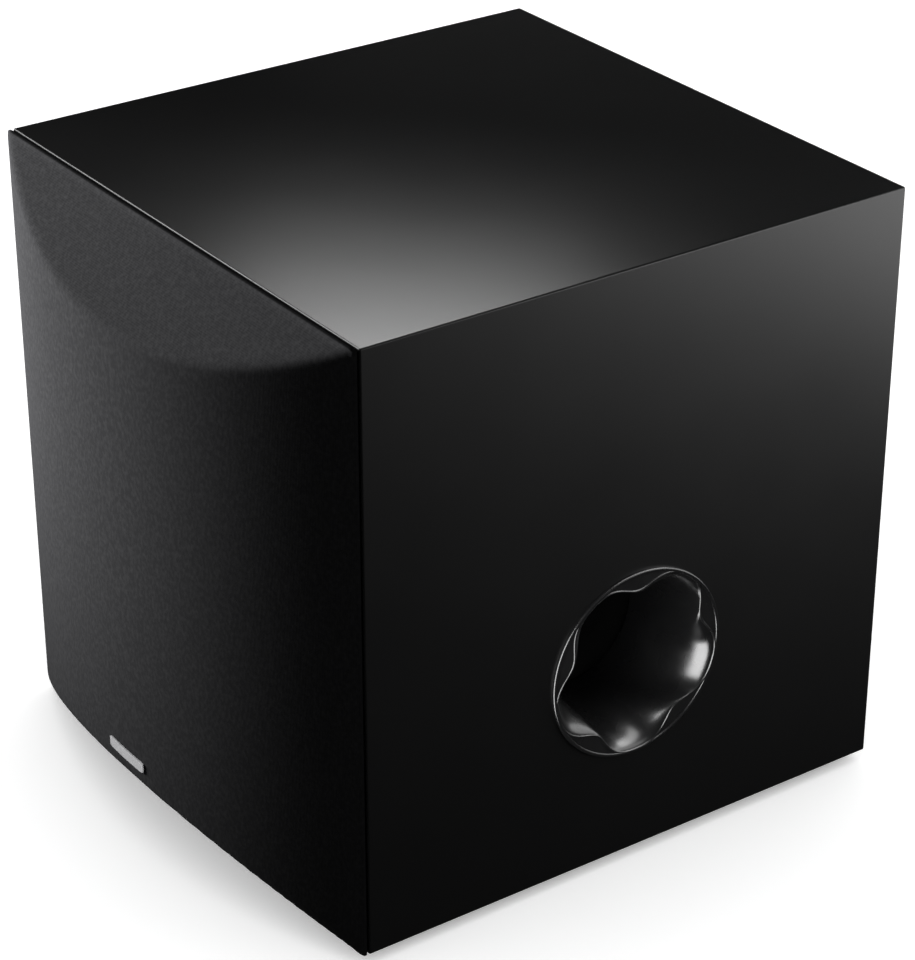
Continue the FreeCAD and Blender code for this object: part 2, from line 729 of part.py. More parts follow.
def capacitors():
    cans = []
    far_end = BOARD_Y - CAN_LENGTH
    for x in CAN_PLACES:
        can = plate_rod((x, CAN_RISE), CAN_RADIUS, far_end, BOARD_Y)
        rim = [e for e in can.Edges if abs(e.CenterOfMass.y - far_end) < 0.1]
        cans.append(can.makeFillet(1.2, rim))
    return Part.makeCompound(cans)


def hexagon(x, z, across, y0, y1):
    corner = across / math.sqrt(3)
    angles = [math.radians(60 * i) for i in range(6)]
    return prism_xz([(x + corner * math.cos(a), z + corner * math.sin(a)) for a in angles], y0, y1)


def one_potentiometer(place):
    x, z = on_plate(place)
    case = box(x - 8.5, x + 8.5, BACK - 12, BACK, z - 8.5, z + 8.5)
    bushing = rod_y(BUSHING_RADIUS, x, BACK - 1, FACE + 3, z)
    nut = hexagon(x, z, 11, FACE, FACE + BEZEL_THICK)
    bore = rod_y(SHAFT_RADIUS + SLIDING_FIT, x, BACK - 9, FACE + 5, z)
    return cut(fuse([case, bushing, nut]), [bore])


def control_shaft(place):
    return plate_rod(place, SHAFT_RADIUS, BACK - 8.5, FACE + 10)


def control_knob(place):
    x, z = on_plate(place)
    base = FACE + 0.6
    tip = BACK + REAR_REACH
    outline = [
        (SHAFT_RADIUS, base + 4.2),
        (7.4, base + 4.2),
        (7.4, base),
        (KNOB_RADIUS, base),
        (KNOB_RADIUS, base + 2.0),
        (KNOB_RADIUS - 1.2, base + 2.6),
        (KNOB_RADIUS - 1.8, tip - 0.8),
        (KNOB_RADIUS - 2.6, tip),
        (0, tip),
        (0, FACE + 10),
        (SHAFT_RADIUS, FACE + 10),
    ]
    knob = turned(outline, x, z)
    pointer = box(x - 0.6, x + 0.6, tip - 0.6, tip + 1, z + 2, z + KNOB_RADIUS)
    return cut(knob, [pointer])


def switch_body(place, travel):
    case = slot_block(place, travel + 7, 4.5, BACK - 10, BACK)
    cavity = slot_block(place, travel + 3.2, 2.4, BACK - 6, BACK + 1)
    return cut(case, [cavity])


def switch_slider(place, offset):
    x, z = on_plate(place)
    middle = x + offset
    nub = box(middle - 2.5, middle + 2.5, BACK - 5.6, FACE + 2.5, z - 1.9, z + 1.9)
    grooves = []
    for step in (-1.2, 0, 1.2):
        at = middle + step
        grooves.append(box(at - 0.3, at + 0.3, FACE + 2, FACE + 3, z - 3, z + 3))
    return cut(nub, grooves)


def power_switch_housing():
    x, z = on_plate(ROCKER_AT)
    body = slot_block(ROCKER_AT, 7.5, 11.5, BACK - 16, FACE)
    bezel = slot_block(ROCKER_AT, 9.5, 13.5, FACE, FACE + BEZEL_THICK)
    cavity = slot_block(ROCKER_AT, 5.9, 9.8, FACE - 10.5, FACE + 3)
    pivot = rod_x(1.56, x - 7.0, x + 7.0, FACE - 3.5, z)
    return cut(fuse([body, bezel]), [cavity, pivot])


def power_rocker():
    x, z = on_plate(ROCKER_AT)
    pivot_y = FACE - 3.5
    outline = [(-5.5, -5), (-1, -8.8), (5.5, -8.8), (4.0, 0), (5.5, 8.8), (-1, 8.8), (-5.5, 5)]
    paddle = prism_yz([(pivot_y + dy, z + dz) for dy, dz in outline], x - 5.5, x + 5.5)
    axle = rod_x(1.5, x - 6.8, x + 6.8, pivot_y, z)
    rocker = fuse([paddle, axle])
    rocker.rotate(V(x, pivot_y, z), V(1, 0, 0), -ROCKER_TILT)
    return rocker


def figure_eight(x, z, y0, y1):
    """Recess for a two-pin mains lead."""
    half = PIN_SPACING / 2
    rounds = [rod_y(4.65, x + s * half, y0, y1, z) for s in (-1, 1)]
    waist = box(x - half, x + half, y0, y1, z - 3.9, z + 3.9)
    return fuse(rounds + [waist])


def power_inlet():
    x, z = on_plate(INLET_AT)
    body = slot_block(INLET_AT, 12, 7.5, BACK - 18, FACE)
    flange = slot_block(INLET_AT, 15, 9.5, FACE, FACE + BEZEL_THICK)
    recess = figure_eight(x, z, FACE - 11.5, FACE + 3)
    pins = [rod_y(PIN_RADIUS + 0.1, pin_x, BACK - 19, FACE, z) for pin_x in inlet_pin_columns()]
    return cut(fuse([body, flange]), [recess] + pins)


def inlet_pin_columns():
    return [INLET_AT[0] + side * PIN_SPACING / 2 for side in (-1, 1)]


def inlet_pins():
    z = on_plate(INLET_AT)[1]
    pins = [rod_y(PIN_RADIUS, x, BACK - 22, FACE - 2, z) for x in inlet_pin_columns()]
    return Part.makeCompound(pins)


def rca_insulator():
    tip = FACE + 8
    plug = plate_rod(RCA_AT, 6.0, BACK - 8, FACE + 1.5)
    flange = plate_rod(RCA_AT, 8.0, FACE, FACE + 1.5)
    core = plate_rod(RCA_AT, 3.2, FACE, tip)
    bore = plate_rod(RCA_AT, 1.6, tip - 8.5, tip + 1)
    return cut(fuse([plug, flange, core]), [bore])


def rca_barrel():
    y0 = FACE + 1.5
    tube = plate_rod(RCA_AT, 4.15, y0, FACE + 9.5)
    collar = plate_rod(RCA_AT, 5.6, y0, y0 + 1.2)
    bore = plate_rod(RCA_AT, 3.3, y0 - 1, FACE + 10)
    return cut(fuse([tube, collar]), [bore])


def lever_offsets():
    return [(i - 1.5) * LEVER_PITCH for i in range(4)]


def terminal_block():
    """Housing of the four levers: a body behind the plate and a flange on it, each with a pocket."""
    x, z = on_plate(TERMINALS_AT)
    pivot_y, pivot_rise = LEVER_PIVOT
    low = z + GUIDE_SPLIT
    body = box(x - 27, x + 27, BACK - 14, FACE, low, z + 11)
    flange = box(x - 28.5, x + 28.5, FACE, FACE + BEZEL_THICK, low, z + 14)
    tools = []
    for offset in lever_offsets():
        cx = x + offset
        tools.append(box(cx - 5.8, cx + 5.8, FACE - 12, FACE + 3, z - 1.2, z + 9.5))
        tools.append(rod_x(1.26, cx - 6.4, cx + 6.4, pivot_y, z + pivot_rise))
    return cut(fuse([body, flange]), tools)


def wire_guides():
    """Four blocks under the levers, each with the hole for one bare wire."""
    x, z = on_plate(TERMINALS_AT)
    high = z + GUIDE_SPLIT - SCREW_CLEARANCE
    guides = []
    for offset in lever_offsets():
        cx = x + offset
        body = box(cx - 6.1, cx + 6.1, BACK - 14, FACE, z - 11, high)
        flange = box(cx - 6.95, cx + 6.95, FACE, FACE + BEZEL_THICK, z - 14, high)
        hole = rod_y(WIRE_HOLE_RADIUS, cx, FACE - 11.5, FACE + 3, z - 5.5)
        guides.append(cut(fuse([body, flange]), [hole]))
    return Part.makeCompound(guides)


def terminal_lever(offset):
    x, z = on_plate(TERMINALS_AT)
    pivot_y, pivot_rise = LEVER_PIVOT
    outline = [(-2.5, -2.2), (15.5, -1.6), (15.5, 1.0), (14.0, 2.0), (-2.5, 2.2)]
    half = LEVER_WIDTH / 2
    points = [(pivot_y + dy, z + pivot_rise + dz) for dy, dz in outline]
    tab = prism_yz(points, x + offset - half, x + offset + half)
    axle = rod_x(1.2, x + offset - 6.3, x + offset + 6.3, pivot_y, z + pivot_rise)
    return fuse([tab, axle])


def status_led():
    x, z = on_plate(LED_AT)
    lens = rod_y(1.5, x, BACK - 6, FACE + 0.6, z)
    dome = Part.makeSphere(1.5, V(x, FACE + 0.6, z))
    return fuse([lens, dome])


def amp_screws():
    screws = []
    for x, z in amp_screw_places():
        head = rod_y(3.7, x, FACE, FACE + HEAD_HEIGHT, z)
        shank = rod_y(SHANK_RADIUS, x, BACK - 11, FACE, z)
        slot = cross_slot(x, FACE + HEAD_HEIGHT / 2, FACE + 3, z, HEAD_SLOT)
        screws.append(cut(fuse([head, shank]), [slot]))
    return Part.makeCompound(screws)


# ---- the whole object ----
def build():
    top, bottom, left, right = mitred_panels()
    parts = {
        "top_panel": top,
        "bottom_panel": bottom,
        "left_panel": left,
        "right_panel": right,
        "front_baffle": front_baffle(),
        "rear_panel": rear_panel(),
        "damping_felt": damping_felt(),
        "feet": Part.makeCompound([one_foot(x, y) for x, y in foot_places()]),
        "foot_screws": Part.makeCompound([one_foot_screw(x, y) for x, y in foot_places()]),
        "grille_frame": grille_frame(),
        "grille_cloth": grille_cloth(),
        "grille_sockets": Part.makeCompound([one_socket(x, z) for x, z in peg_places()]),
        "badge": badge(),
        "port_flare": port_flare(),
        "port_tube": port_tube(),
        "driver_basket": driver_basket(),
        "driver_gasket": driver_gasket(),
        "surround": surround(),
        "spider": spider(),
        "cone": cone(),
        "dust_cap": dust_cap(),
        "coil_former": driver_ring(FORMER_INNER, FORMER_OUTER, CONE_DEPTH, FORMER_END),
        "voice_coil": driver_ring(FORMER_OUTER + 0.02, COIL_OUTER, *COIL_DEPTHS),
        "top_plate": driver_ring(GAP_RADIUS, TOP_PLATE_RADIUS, TOP_PLATE_DEPTH, MAGNET_DEPTH),
        "magnet": driver_ring(MAGNET_INNER, MAGNET_OUTER, MAGNET_DEPTH, YOKE_DEPTH),
        "pole_yoke": pole_yoke(),
        "driver_terminals": driver_terminals(),
        "driver_screws": driver_screws(),
        "speaker_wire": speaker_wire(),
        "amp_plate": amp_plate(),
        "amp_gasket": amp_gasket(),
        "amp_board": amp_board(),
        "board_standoffs": board_standoffs(),
        "heat_sink": heat_sink(),
        "transformer_core": transformer_core(),
        "transformer_winding": transformer_winding(),
        "capacitors": capacitors(),
        "potentiometers": Part.makeCompound([one_potentiometer(at) for at in (VOLUME_AT, CROSSOVER_AT)]),
        "volume_shaft": control_shaft(VOLUME_AT),
        "crossover_shaft": control_shaft(CROSSOVER_AT),
        "volume_knob": control_knob(VOLUME_AT),
        "crossover_knob": control_knob(CROSSOVER_AT),
        "phase_switch_body": switch_body(PHASE_AT, PHASE_TRAVEL / 2),
        "standby_switch_body": switch_body(STANDBY_AT, STANDBY_TRAVEL),
        "phase_slider": switch_slider(PHASE_AT, -PHASE_TRAVEL / 2),
        "standby_slider": switch_slider(STANDBY_AT, 0.0),
        "power_switch_housing": power_switch_housing(),
        "power_rocker": power_rocker(),
        "power_inlet": power_inlet(),
        "inlet_pins": inlet_pins(),
        "rca_insulator": rca_insulator(),
        "rca_barrel": rca_barrel(),
        "terminal_block": terminal_block(),
        "wire_guides": wire_guides(),
        "status_led": status_led(),
        "amp_screws": amp_screws(),
    }
    for i, offset in enumerate(lever_offsets()):
        parts[f"terminal_lever_{i + 1}"] = terminal_lever(offset)
    return parts


os.makedirs("parts", exist_ok=True)
for node, shape in build().items():
    shape.exportStep(os.path.join("parts", node + ".step"))
    print(node, "valid" if shape.isValid() else "INVALID", len(shape.Solids), round(shape.Volume))
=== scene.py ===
import json
import math

import bmesh
import bpy
from mathutils import Matrix, Vector


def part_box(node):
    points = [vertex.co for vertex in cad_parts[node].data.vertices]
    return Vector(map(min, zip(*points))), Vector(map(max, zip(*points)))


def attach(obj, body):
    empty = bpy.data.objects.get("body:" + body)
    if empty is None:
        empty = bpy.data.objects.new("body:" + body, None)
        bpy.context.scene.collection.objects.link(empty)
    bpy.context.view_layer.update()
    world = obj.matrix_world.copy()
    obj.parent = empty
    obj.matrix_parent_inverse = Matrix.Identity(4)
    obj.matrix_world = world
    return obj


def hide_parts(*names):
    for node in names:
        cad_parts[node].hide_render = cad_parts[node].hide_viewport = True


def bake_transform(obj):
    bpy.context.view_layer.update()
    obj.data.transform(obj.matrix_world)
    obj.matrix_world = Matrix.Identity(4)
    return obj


# The looks of a small powered subwoofer: a film-wrapped cabinet, a bowed cloth grille, a twisted
# five-lobed port in its right side, the driver behind the grille and the amplifier on its back.
# Every length is in metres, in the frame's own axes: X right, Z up, the front faces -Y.

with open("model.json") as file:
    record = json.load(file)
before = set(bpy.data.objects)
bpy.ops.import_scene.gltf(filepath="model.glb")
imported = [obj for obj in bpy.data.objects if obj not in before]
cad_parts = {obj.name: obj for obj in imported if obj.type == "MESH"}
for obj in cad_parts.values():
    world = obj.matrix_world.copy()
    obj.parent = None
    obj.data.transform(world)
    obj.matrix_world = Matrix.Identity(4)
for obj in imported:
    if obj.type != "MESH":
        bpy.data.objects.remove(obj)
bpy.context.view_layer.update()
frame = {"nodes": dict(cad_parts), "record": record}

MM = 0.001
RIGHT, REAR, UP = Vector((1, 0, 0)), Vector((0, 1, 0)), Vector((0, 0, 1))
ACROSS_X = (REAR, UP, RIGHT)
ACROSS_Y = (RIGHT, UP, REAR)
ACROSS_Z = (RIGHT, REAR, UP)
FROM_BEHIND = (-RIGHT, UP, REAR)
SQUARE = ((-1, -1), (1, -1), (1, 1), (-1, 1))

# ---- places taken from the frame ----
cabinet_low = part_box("left_panel")[0]
cabinet_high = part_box("right_panel")[1]
SIDE, BACK, TOP = cabinet_high
FRONT, BOTTOM = cabinet_low.y, cabinet_low.z
MIDDLE = (cabinet_low + cabinet_high) / 2
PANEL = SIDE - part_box("front_baffle")[1].x
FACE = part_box("amp_plate")[1].y


# ---- mesh helpers ----
def mm(*points):
    """Points given in millimetres, in metres."""
    return [tuple(value * MM for value in point) for point in points]


def centre_of(node):
    low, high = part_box(node)
    return (low + high) / 2


def arc(start, end, steps):
    """Cosine and sine at even steps between two angles in degrees, both ends included."""
    turns = [math.radians(start + (end - start) * k / steps) for k in range(steps + 1)]
    return [(math.cos(turn), math.sin(turn)) for turn in turns]


def circle(count):
    """Cosine and sine at even steps round a whole turn."""
    return arc(0, 360, count)[:-1]


def quarter_round(radius, steps):
    """Insets of a rounded edge from its two faces, starting on the second one."""
    return [(radius * (1 - sine), radius * (1 - cosine)) for cosine, sine in arc(0, 90, steps)]


def soft_max(a, b, width):
    """The larger of two values, eased over the given width where they cross."""
    ease = max(width - abs(a - b), 0.0) / width
    return max(a, b) + ease * ease * width / 4


def round_corners(outline, radius=0.0, steps=4, closed=True):
    """The outline with an arc in place of each corner; a corner may carry its own radius third."""
    under_half = 2.01
    made = []
    count = len(outline)
    for i, corner in enumerate(outline):
        size = corner[2] if len(corner) > 2 else radius
        here = Vector(corner[:2])
        if size <= 0 or (not closed and i in (0, count - 1)):
            made.append(here)
            continue
        back = Vector(outline[i - 1][:2]) - here
        ahead = Vector(outline[(i + 1) % count][:2]) - here
        half = back.angle(ahead) / 2
        reach = min(size / math.tan(half), back.length / under_half, ahead.length / under_half)
        start = here + back.normalized() * reach
        end = here + ahead.normalized() * reach
        for k in range(steps + 1):
            t = k / steps
            made.append(start * (1 - t) ** 2 + here * (2 * t * (1 - t)) + end * t**2)
    return made


def skin(rings, wrap_rings=False):
    """Quads between neighbouring closed rings of points."""
    bm = bmesh.new()
    grid = [[bm.verts.new(point) for point in ring] for ring in rings]
    ring_pairs = list(zip(grid, grid[1:]))
    if wrap_rings:
        ring_pairs.append((grid[-1], grid[0]))
    count = len(rings[0])
    for a, b in ring_pairs:
        for i in range(count):
            j = (i + 1) % count
            bm.faces.new((a[i], a[j], b[j], b[i]))
    return bm


def tidy(bm):
    """Joins points that coincide, drops empty faces and turns the rest outwards."""
    gap = 1e-6
    bmesh.ops.remove_doubles(bm, verts=bm.verts, dist=gap)
    bmesh.ops.dissolve_degenerate(bm, edges=bm.edges, dist=gap)
    bmesh.ops.recalc_face_normals(bm, faces=bm.faces)
    return bm


def close_ends(bm, count):
    """Closes the first and the last ring of a skin whose rings have this many points."""
    bm.verts.ensure_lookup_table()
    total = len(bm.verts)
    bm.faces.new(bm.verts[:count])
    bm.faces.new(bm.verts[total - count:])
    return tidy(bm)


def lathe(profile, centre, axes=ACROSS_Y, segments=96, closed=True):
    """Turned form: the profile is (radius, distance along the axis from the centre)."""
    across, up, along = axes
    rings = []
    for radius, step in profile:
        middle = centre + along * step
        rings.append([middle + across * (radius * c) + up * (radius * s) for c, s in circle(segments)])
    return tidy(skin(rings, wrap_rings=closed))


def slab(outline, centre, thickness, axes=ACROSS_Y, edge=0.3 * MM, steps=3):
    """Plate of the given outline with rounded edges, from the centre along the third axis."""
    across, up, along = axes
    outline = [Vector(point) for point in outline]
    count = len(outline)
    middle = sum(outline, Vector((0, 0))) / count
    normals = []
    for i, here in enumerate(outline):
        tangent = outline[(i + 1) % count] - outline[i - 1]
        normal = Vector((tangent.y, -tangent.x)).normalized()
        normals.append(-normal if normal.dot(here - middle) < 0 else normal)
    near = quarter_round(edge, steps)
    rings = []
    for inset, depth in near + [(inset, thickness - depth) for inset, depth in near[::-1]]:
        spots = [here - normal * inset for here, normal in zip(outline, normals)]
        rings.append([centre + across * spot.x + up * spot.y + along * depth for spot in spots])
    return close_ends(skin(rings), count)


def axle(radius, half_length, centre, segments):
    """Plain pin along X."""
    profile = [(0.0, -half_length), (radius, -half_length), (radius, half_length), (0.0, half_length)]
    return lathe(profile, centre, ACROSS_X, segments, closed=False)


def oblong(width, height, radius, steps=5):
    """Rectangle with rounded corners, as points round its middle."""
    x, y = width / 2, height / 2
    return round_corners([(x, -y), (x, y), (-x, y), (-x, -y)], radius, steps)


def merge(parts):
    """One bmesh that holds them all."""
    whole = bmesh.new()
    for part in parts:
        mesh = bpy.data.meshes.new("part")
        part.to_mesh(mesh)
        part.free()
        whole.from_mesh(mesh)
        bpy.data.meshes.remove(mesh)
    return whole


def add_object(name, bm):
    """The bmesh as an object in the scene."""
    mesh = bpy.data.meshes.new(name)
    bm.to_mesh(mesh)
    bm.free()
    made = bpy.data.objects.new(name, mesh)
    bpy.context.scene.collection.objects.link(made)
    return made


def piece(name, bm, body, finish_name, *replaced, crease=35):
    """A finished piece that rides on a body and stands for the CAD nodes that it replaces."""
    made = add_object(name, bm)
    made.data.shade_smooth()
    made.data.set_sharp_from_angle(angle=math.radians(crease))
    made.data.materials.append(finishes[finish_name])
    if body:
        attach(made, body)
    if replaced:
        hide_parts(*replaced)
    return made


def carve(made, cutter_mesh):
    """Cuts a closed form out of a piece."""
    cutter = add_object("cutter", cutter_mesh)
    modifier = made.modifiers.new("cut", "BOOLEAN")
    modifier.object = cutter
    modifier.operation = "DIFFERENCE"
    modifier.solver = "EXACT"
    settle(made)
    bpy.data.objects.remove(cutter)


def settle(made):
    """Applies a piece's modifiers to its mesh."""
    bpy.context.view_layer.update()
    graph = bpy.context.evaluated_depsgraph_get()
    mesh = bpy.data.meshes.new_from_object(made.evaluated_get(graph))
    made.modifiers.clear()
    made.data = mesh


# ---- materials ----
def add_node(tree, kind, output, inputs, **settings):
    """An output of a new node; each input is a fixed value or another node's output."""
    node = tree.nodes.new("ShaderNode" + kind)
    for name, value in settings.items():
        setattr(node, name, value)
    for key, value in inputs.items():
        if isinstance(value, bpy.types.NodeSocket):
            tree.links.new(value, node.inputs[key])
        else:
            node.inputs[key].default_value = value
    return node.outputs[output]


def grey(level, blue=0.0):
    """A neutral colour with a trace of blue."""
    return level, level, level + blue


class Finish:
    """A material of procedural nodes in the object's own coordinates; its sizes are in mm."""

    def __init__(self, name, color, roughness, metallic, specular):
        self.material = bpy.data.materials.new(name)
        self.material.use_nodes = True
        self.tree = self.material.node_tree
        self.shader = self.tree.nodes["Principled BSDF"]
        self.set(Base_Color=(*color, 1), Roughness=roughness)
        self.set(Metallic=metallic, Specular_IOR_Level=specular)
        self.place = self.node("TexCoord", "Object", {})
        self.normal = None

    def set(self, **values):
        """Fixed values for inputs of the shader."""
        for name, value in values.items():
            self.shader.inputs[name.replace("_", " ")].default_value = value

    def connect(self, source, name):
        self.tree.links.new(source, self.shader.inputs[name])

    def node(self, kind, output, inputs, **settings):
        return add_node(self.tree, kind, output, inputs, **settings)

    def stretched(self, stretch):
        return self.node("Mapping", "Vector", {"Vector": self.place, "Scale": stretch})

    def noise(self, size, detail=2.0, stretch=(1, 1, 1)):
        """Soft mottling whose patches are about the given size."""
        inputs = {"Vector": self.stretched(stretch), "Scale": 1 / (size * MM), "Detail": detail}
        return self.node("TexNoise", "Fac", inputs)

    def cells(self, size, stretch=(1, 1, 1), feature="F1"):
        """Distance pattern of scattered cells."""
        inputs = {"Vector": self.stretched(stretch), "Scale": 1 / (size * MM)}
        return self.node("TexVoronoi", "Distance", inputs, feature=feature)

    def wave(self, axis, length):
        """Even ripples from -1 to 1 along an axis."""
        along = self.node("SeparateXYZ", axis, {"Vector": self.place})
        return self.calc("SINE", self.calc("MULTIPLY", along, math.tau / (length * MM)))

    def calc(self, operation, a, b=0.0):
        return self.node("Math", 0, {0: a, 1: b}, operation=operation)

    def spread(self, pattern, low, high, start=0.0, end=1.0):
        """Maps a pattern from start..end onto low..high."""
        limits = {"From Min": start, "From Max": end, "To Min": low, "To Max": high}
        return self.node("MapRange", "Result", {"Value": pattern, **limits})

    def tint(self, factor, color):
        """Turns the base colour towards another one where the factor is high."""
        base = self.shader.inputs["Base Color"]
        under = base.links[0].from_socket if base.is_linked else base.default_value
        inputs = {"Factor": factor, "A": under, "B": (*color, 1)}
        self.connect(self.node("Mix", "Result", inputs, data_type="RGBA"), "Base Color")

    def stain(self, pattern, amount, start, end, color):
        """Tints by up to the amount where the pattern rises from start to end."""
        self.tint(self.spread(pattern, 0.0, amount, start, end), color)

    def fill(self, pattern, amount, start, end, color):
        """Tints by up to the amount where the pattern falls from end to start."""
        self.tint(self.spread(pattern, amount, 0.0, start, end), color)

    def gloss(self, pattern, low, high):
        """Varies the roughness between two values with the pattern."""
        self.connect(self.spread(pattern, low, high, 0.3, 0.7), "Roughness")

    def shade_with(self, normal):
        self.normal = normal
        self.connect(normal, "Normal")

    def bump(self, height, distance, strength):
        """Raises the pattern by the distance, on top of the relief so far."""
        inputs = {"Height": height, "Distance": distance * MM, "Strength": strength}
        if self.normal:
            inputs["Normal"] = self.normal
        self.shade_with(self.node("Bump", "Normal", inputs))

    def soft_edges(self, radius):
        """Rounds hard edges in the shading, and gives a mask of where they are."""
        rounded = self.node("Bevel", "Normal", {"Radius": radius * MM}, samples=4)
        flat = self.node("NewGeometry", "Normal", {})
        match = self.node("VectorMath", "Value", {0: rounded, 1: flat}, operation="DOT_PRODUCT")
        self.shade_with(rounded)
        return self.spread(match, 1.0, 0.0, 0.75, 0.99)

    def wear(self, radius, rubbed, color):
        """Soft edges that show another colour where they are rubbed."""
        self.tint(self.calc("MULTIPLY", self.soft_edges(radius), rubbed), color)


FINISHES = {}


def finish(color, roughness, metallic=0.0, specular=0.5):
    """Makes a function the maker of the material that has its name: it adds the detail."""
    def maker(add_detail):
        def make():
            look = Finish(add_detail.__name__, color, roughness, metallic, specular)
            add_detail(look)
            return look.material
        FINISHES[add_detail.__name__] = make
        return make
    return maker


@finish(grey(0.0014, 0.0001), 0.39)
def cabinet_film(look):
    """Satin black vinyl: a faint orange peel, a little dust and rubbed patches."""
    look.gloss(look.noise(45, 3), 0.38, 0.40)
    look.fill(look.cells(9), 0.25, 0.02, 0.04, grey(0.02))
    look.bump(look.noise(1.2, 2), 0.01, 0.3)


@finish(grey(0.0020, 0.0001), 0.8, specular=0.0)
def grille_weave(look):
    """Plain weave of matt black yarn with uneven threads, and painted shade darkening the hollows
    between the threads.
    """
    thread_pair = 1.5
    warp, weft = look.wave("X", thread_pair), look.wave("Z", thread_pair)
    over = look.spread(look.calc("MULTIPLY", warp, weft), 0.0, 1.0, -1.0, 1.0)
    under = look.calc("SUBTRACT", 1.0, over)
    warp_height = look.calc("MULTIPLY", look.calc("ABSOLUTE", warp), over)
    weft_height = look.calc("MULTIPLY", look.calc("ABSOLUTE", weft), under)
    weave = look.calc("MAXIMUM", warp_height, weft_height)
    slubs = look.noise(1.6, 3, (1, 1, 0.7))
    # Painted shade: darker where the weave's height is low, in the hollows between threads.
    look.fill(weave, 0.8, 0.1, 0.6, grey(0.001))
    look.stain(slubs, 0.5, 0.4, 0.75, grey(0.0034, 0.0001))
    look.bump(slubs, 0.05, 0.3)
    look.bump(weave, 0.03, 0.5)


# Painted reflection in part: the pale base colour at low metallic stands in for the white floor that
# reflections don't show.
@finish(grey(0.62, 0.01), 0.3, metallic=0.35)
def badge_metal(look):
    """Bright metal brushed along its length; part of its brightness is painted reflection, a pale
    diffuse colour standing in for the mirrored white floor.
    """
    brushed = look.noise(0.5, 3, (0.04, 1, 1))
    look.gloss(brushed, 0.24, 0.4)
    look.stain(brushed, 0.35, 0.4, 0.8, grey(0.42, 0.01))
    look.bump(brushed, 0.02, 0.3)


@finish(grey(0.0022, 0.0001), 0.16)
def port_gloss(look):
    """Smooth moulded plastic with faint flow lines and hairline scratches."""
    look.gloss(look.noise(18, 2), 0.24, 0.32)
    look.bump(look.noise(0.7, 2, (1, 0.05, 1)), 0.01, 0.15)
    look.stain(look.noise(2.5, 3), 0.3, 0.55, 0.8, grey(0.006))


@finish(grey(0.012), 0.72)
def baffle_board(look):
    """Black-stained fibreboard with a fine fleck."""
    fleck = look.noise(0.9, 4)
    look.stain(fleck, 0.6, 0.5, 0.75, (0.035, 0.032, 0.029))
    look.gloss(look.noise(20, 3), 0.62, 0.82)
    look.bump(fleck, 0.05, 0.4)


@finish((0.30, 0.29, 0.275), 0.95, specular=0.1)
def felt(look):
    """Grey needle felt: tangled fibres and loose tufts."""
    fibres = look.noise(1.5, 6, (1, 0.3, 1))
    look.stain(fibres, 0.8, 0.4, 0.7, (0.42, 0.41, 0.39))
    look.fill(look.cells(9), 0.5, 0.0, 0.3, (0.17, 0.165, 0.16))
    look.bump(fibres, 0.6, 0.8)
    look.set(Sheen_Weight=0.3, Sheen_Roughness=0.6)


@finish(grey(0.011, 0.0005), 0.7, specular=0.35)
def foot_rubber(look):
    """Moulded rubber with dust in its low spots."""
    grain = look.noise(0.7, 3)
    look.gloss(grain, 0.6, 0.82)
    look.stain(look.noise(8, 4), 0.45, 0.5, 0.8, (0.045, 0.043, 0.04))
    look.bump(grain, 0.03, 0.5)


@finish(grey(0.03, 0.001), 0.34, metallic=0.8)
def black_steel(look):
    """Blackened screws, bright where a screwdriver has rubbed them."""
    look.wear(0.15, look.spread(look.noise(0.8, 3), 0.0, 1.0, 0.35, 0.6), grey(0.35))
    look.gloss(look.noise(0.6, 3), 0.26, 0.45)
    look.bump(look.noise(0.3, 2), 0.01, 0.4)


@finish(grey(0.012, 0.0005), 0.6)
def frame_plastic(look):
    """Matt moulded lattice with a spark-eroded grain and flow marks."""
    look.gloss(look.noise(14, 3), 0.52, 0.68)
    look.stain(look.noise(5, 4), 0.4, 0.5, 0.8, grey(0.022))
    look.soft_edges(0.3)
    look.bump(look.cells(0.5), 0.02, 0.4)


@finish(grey(0.014, 0.0005), 0.6, specular=0.4)
def socket_rubber(look):
    """Soft black cups, polished a little by the pegs."""
    look.gloss(look.noise(3, 3), 0.45, 0.72)
    look.stain(look.noise(1.4, 4), 0.4, 0.5, 0.8, grey(0.03))
    look.bump(look.noise(0.5, 2), 0.02, 0.4)


@finish(grey(0.010), 0.68)
def tube_card(look):
    """Wound card tube painted black: the winding shows as shallow rings."""
    fibres = look.noise(1.2, 4, (0.3, 1, 1))
    look.stain(fibres, 0.5, 0.5, 0.8, (0.028, 0.026, 0.024))
    look.gloss(fibres, 0.58, 0.78)
    look.bump(look.spread(look.wave("X", 24), 0.0, 1.0, 0.85, 1.0), 0.15, 0.5)
    look.bump(fibres, 0.04, 0.5)


@finish(grey(0.016, 0.0005), 0.5)
def basket_steel(look):
    """Black powder-coated pressing with a pebbled skin."""
    look.wear(0.4, look.spread(look.noise(4, 4), 0.0, 0.5, 0.5, 0.7), grey(0.06))
    look.gloss(look.noise(6, 3), 0.42, 0.58)
    look.bump(look.cells(0.7, feature="SMOOTH_F1"), 0.03, 0.5)


@finish(grey(0.010, 0.0005), 0.85, specular=0.25)
def gasket_foam(look):
    """Closed-cell foam with a skin of small pores, and painted shade darkening inside the pores."""
    pores = look.cells(0.55)
    # Painted shade: darker at the bottom of each pore, where the bump dips.
    look.fill(pores, 0.7, 0.0, 0.35, grey(0.004))
    look.stain(look.noise(6, 4), 0.4, 0.5, 0.8, grey(0.028, 0.001))
    look.bump(pores, 0.12, 0.7)


@finish(grey(0.010, 0.0005), 0.46, specular=0.45)
def surround_rubber(look):
    """Butyl rubber: satin, with a bloom of fine powder."""
    bloom = look.noise(9, 5)
    look.stain(bloom, 0.5, 0.45, 0.8, grey(0.026, 0.002))
    look.gloss(bloom, 0.36, 0.58)
    look.bump(look.noise(0.6, 2), 0.015, 0.5)


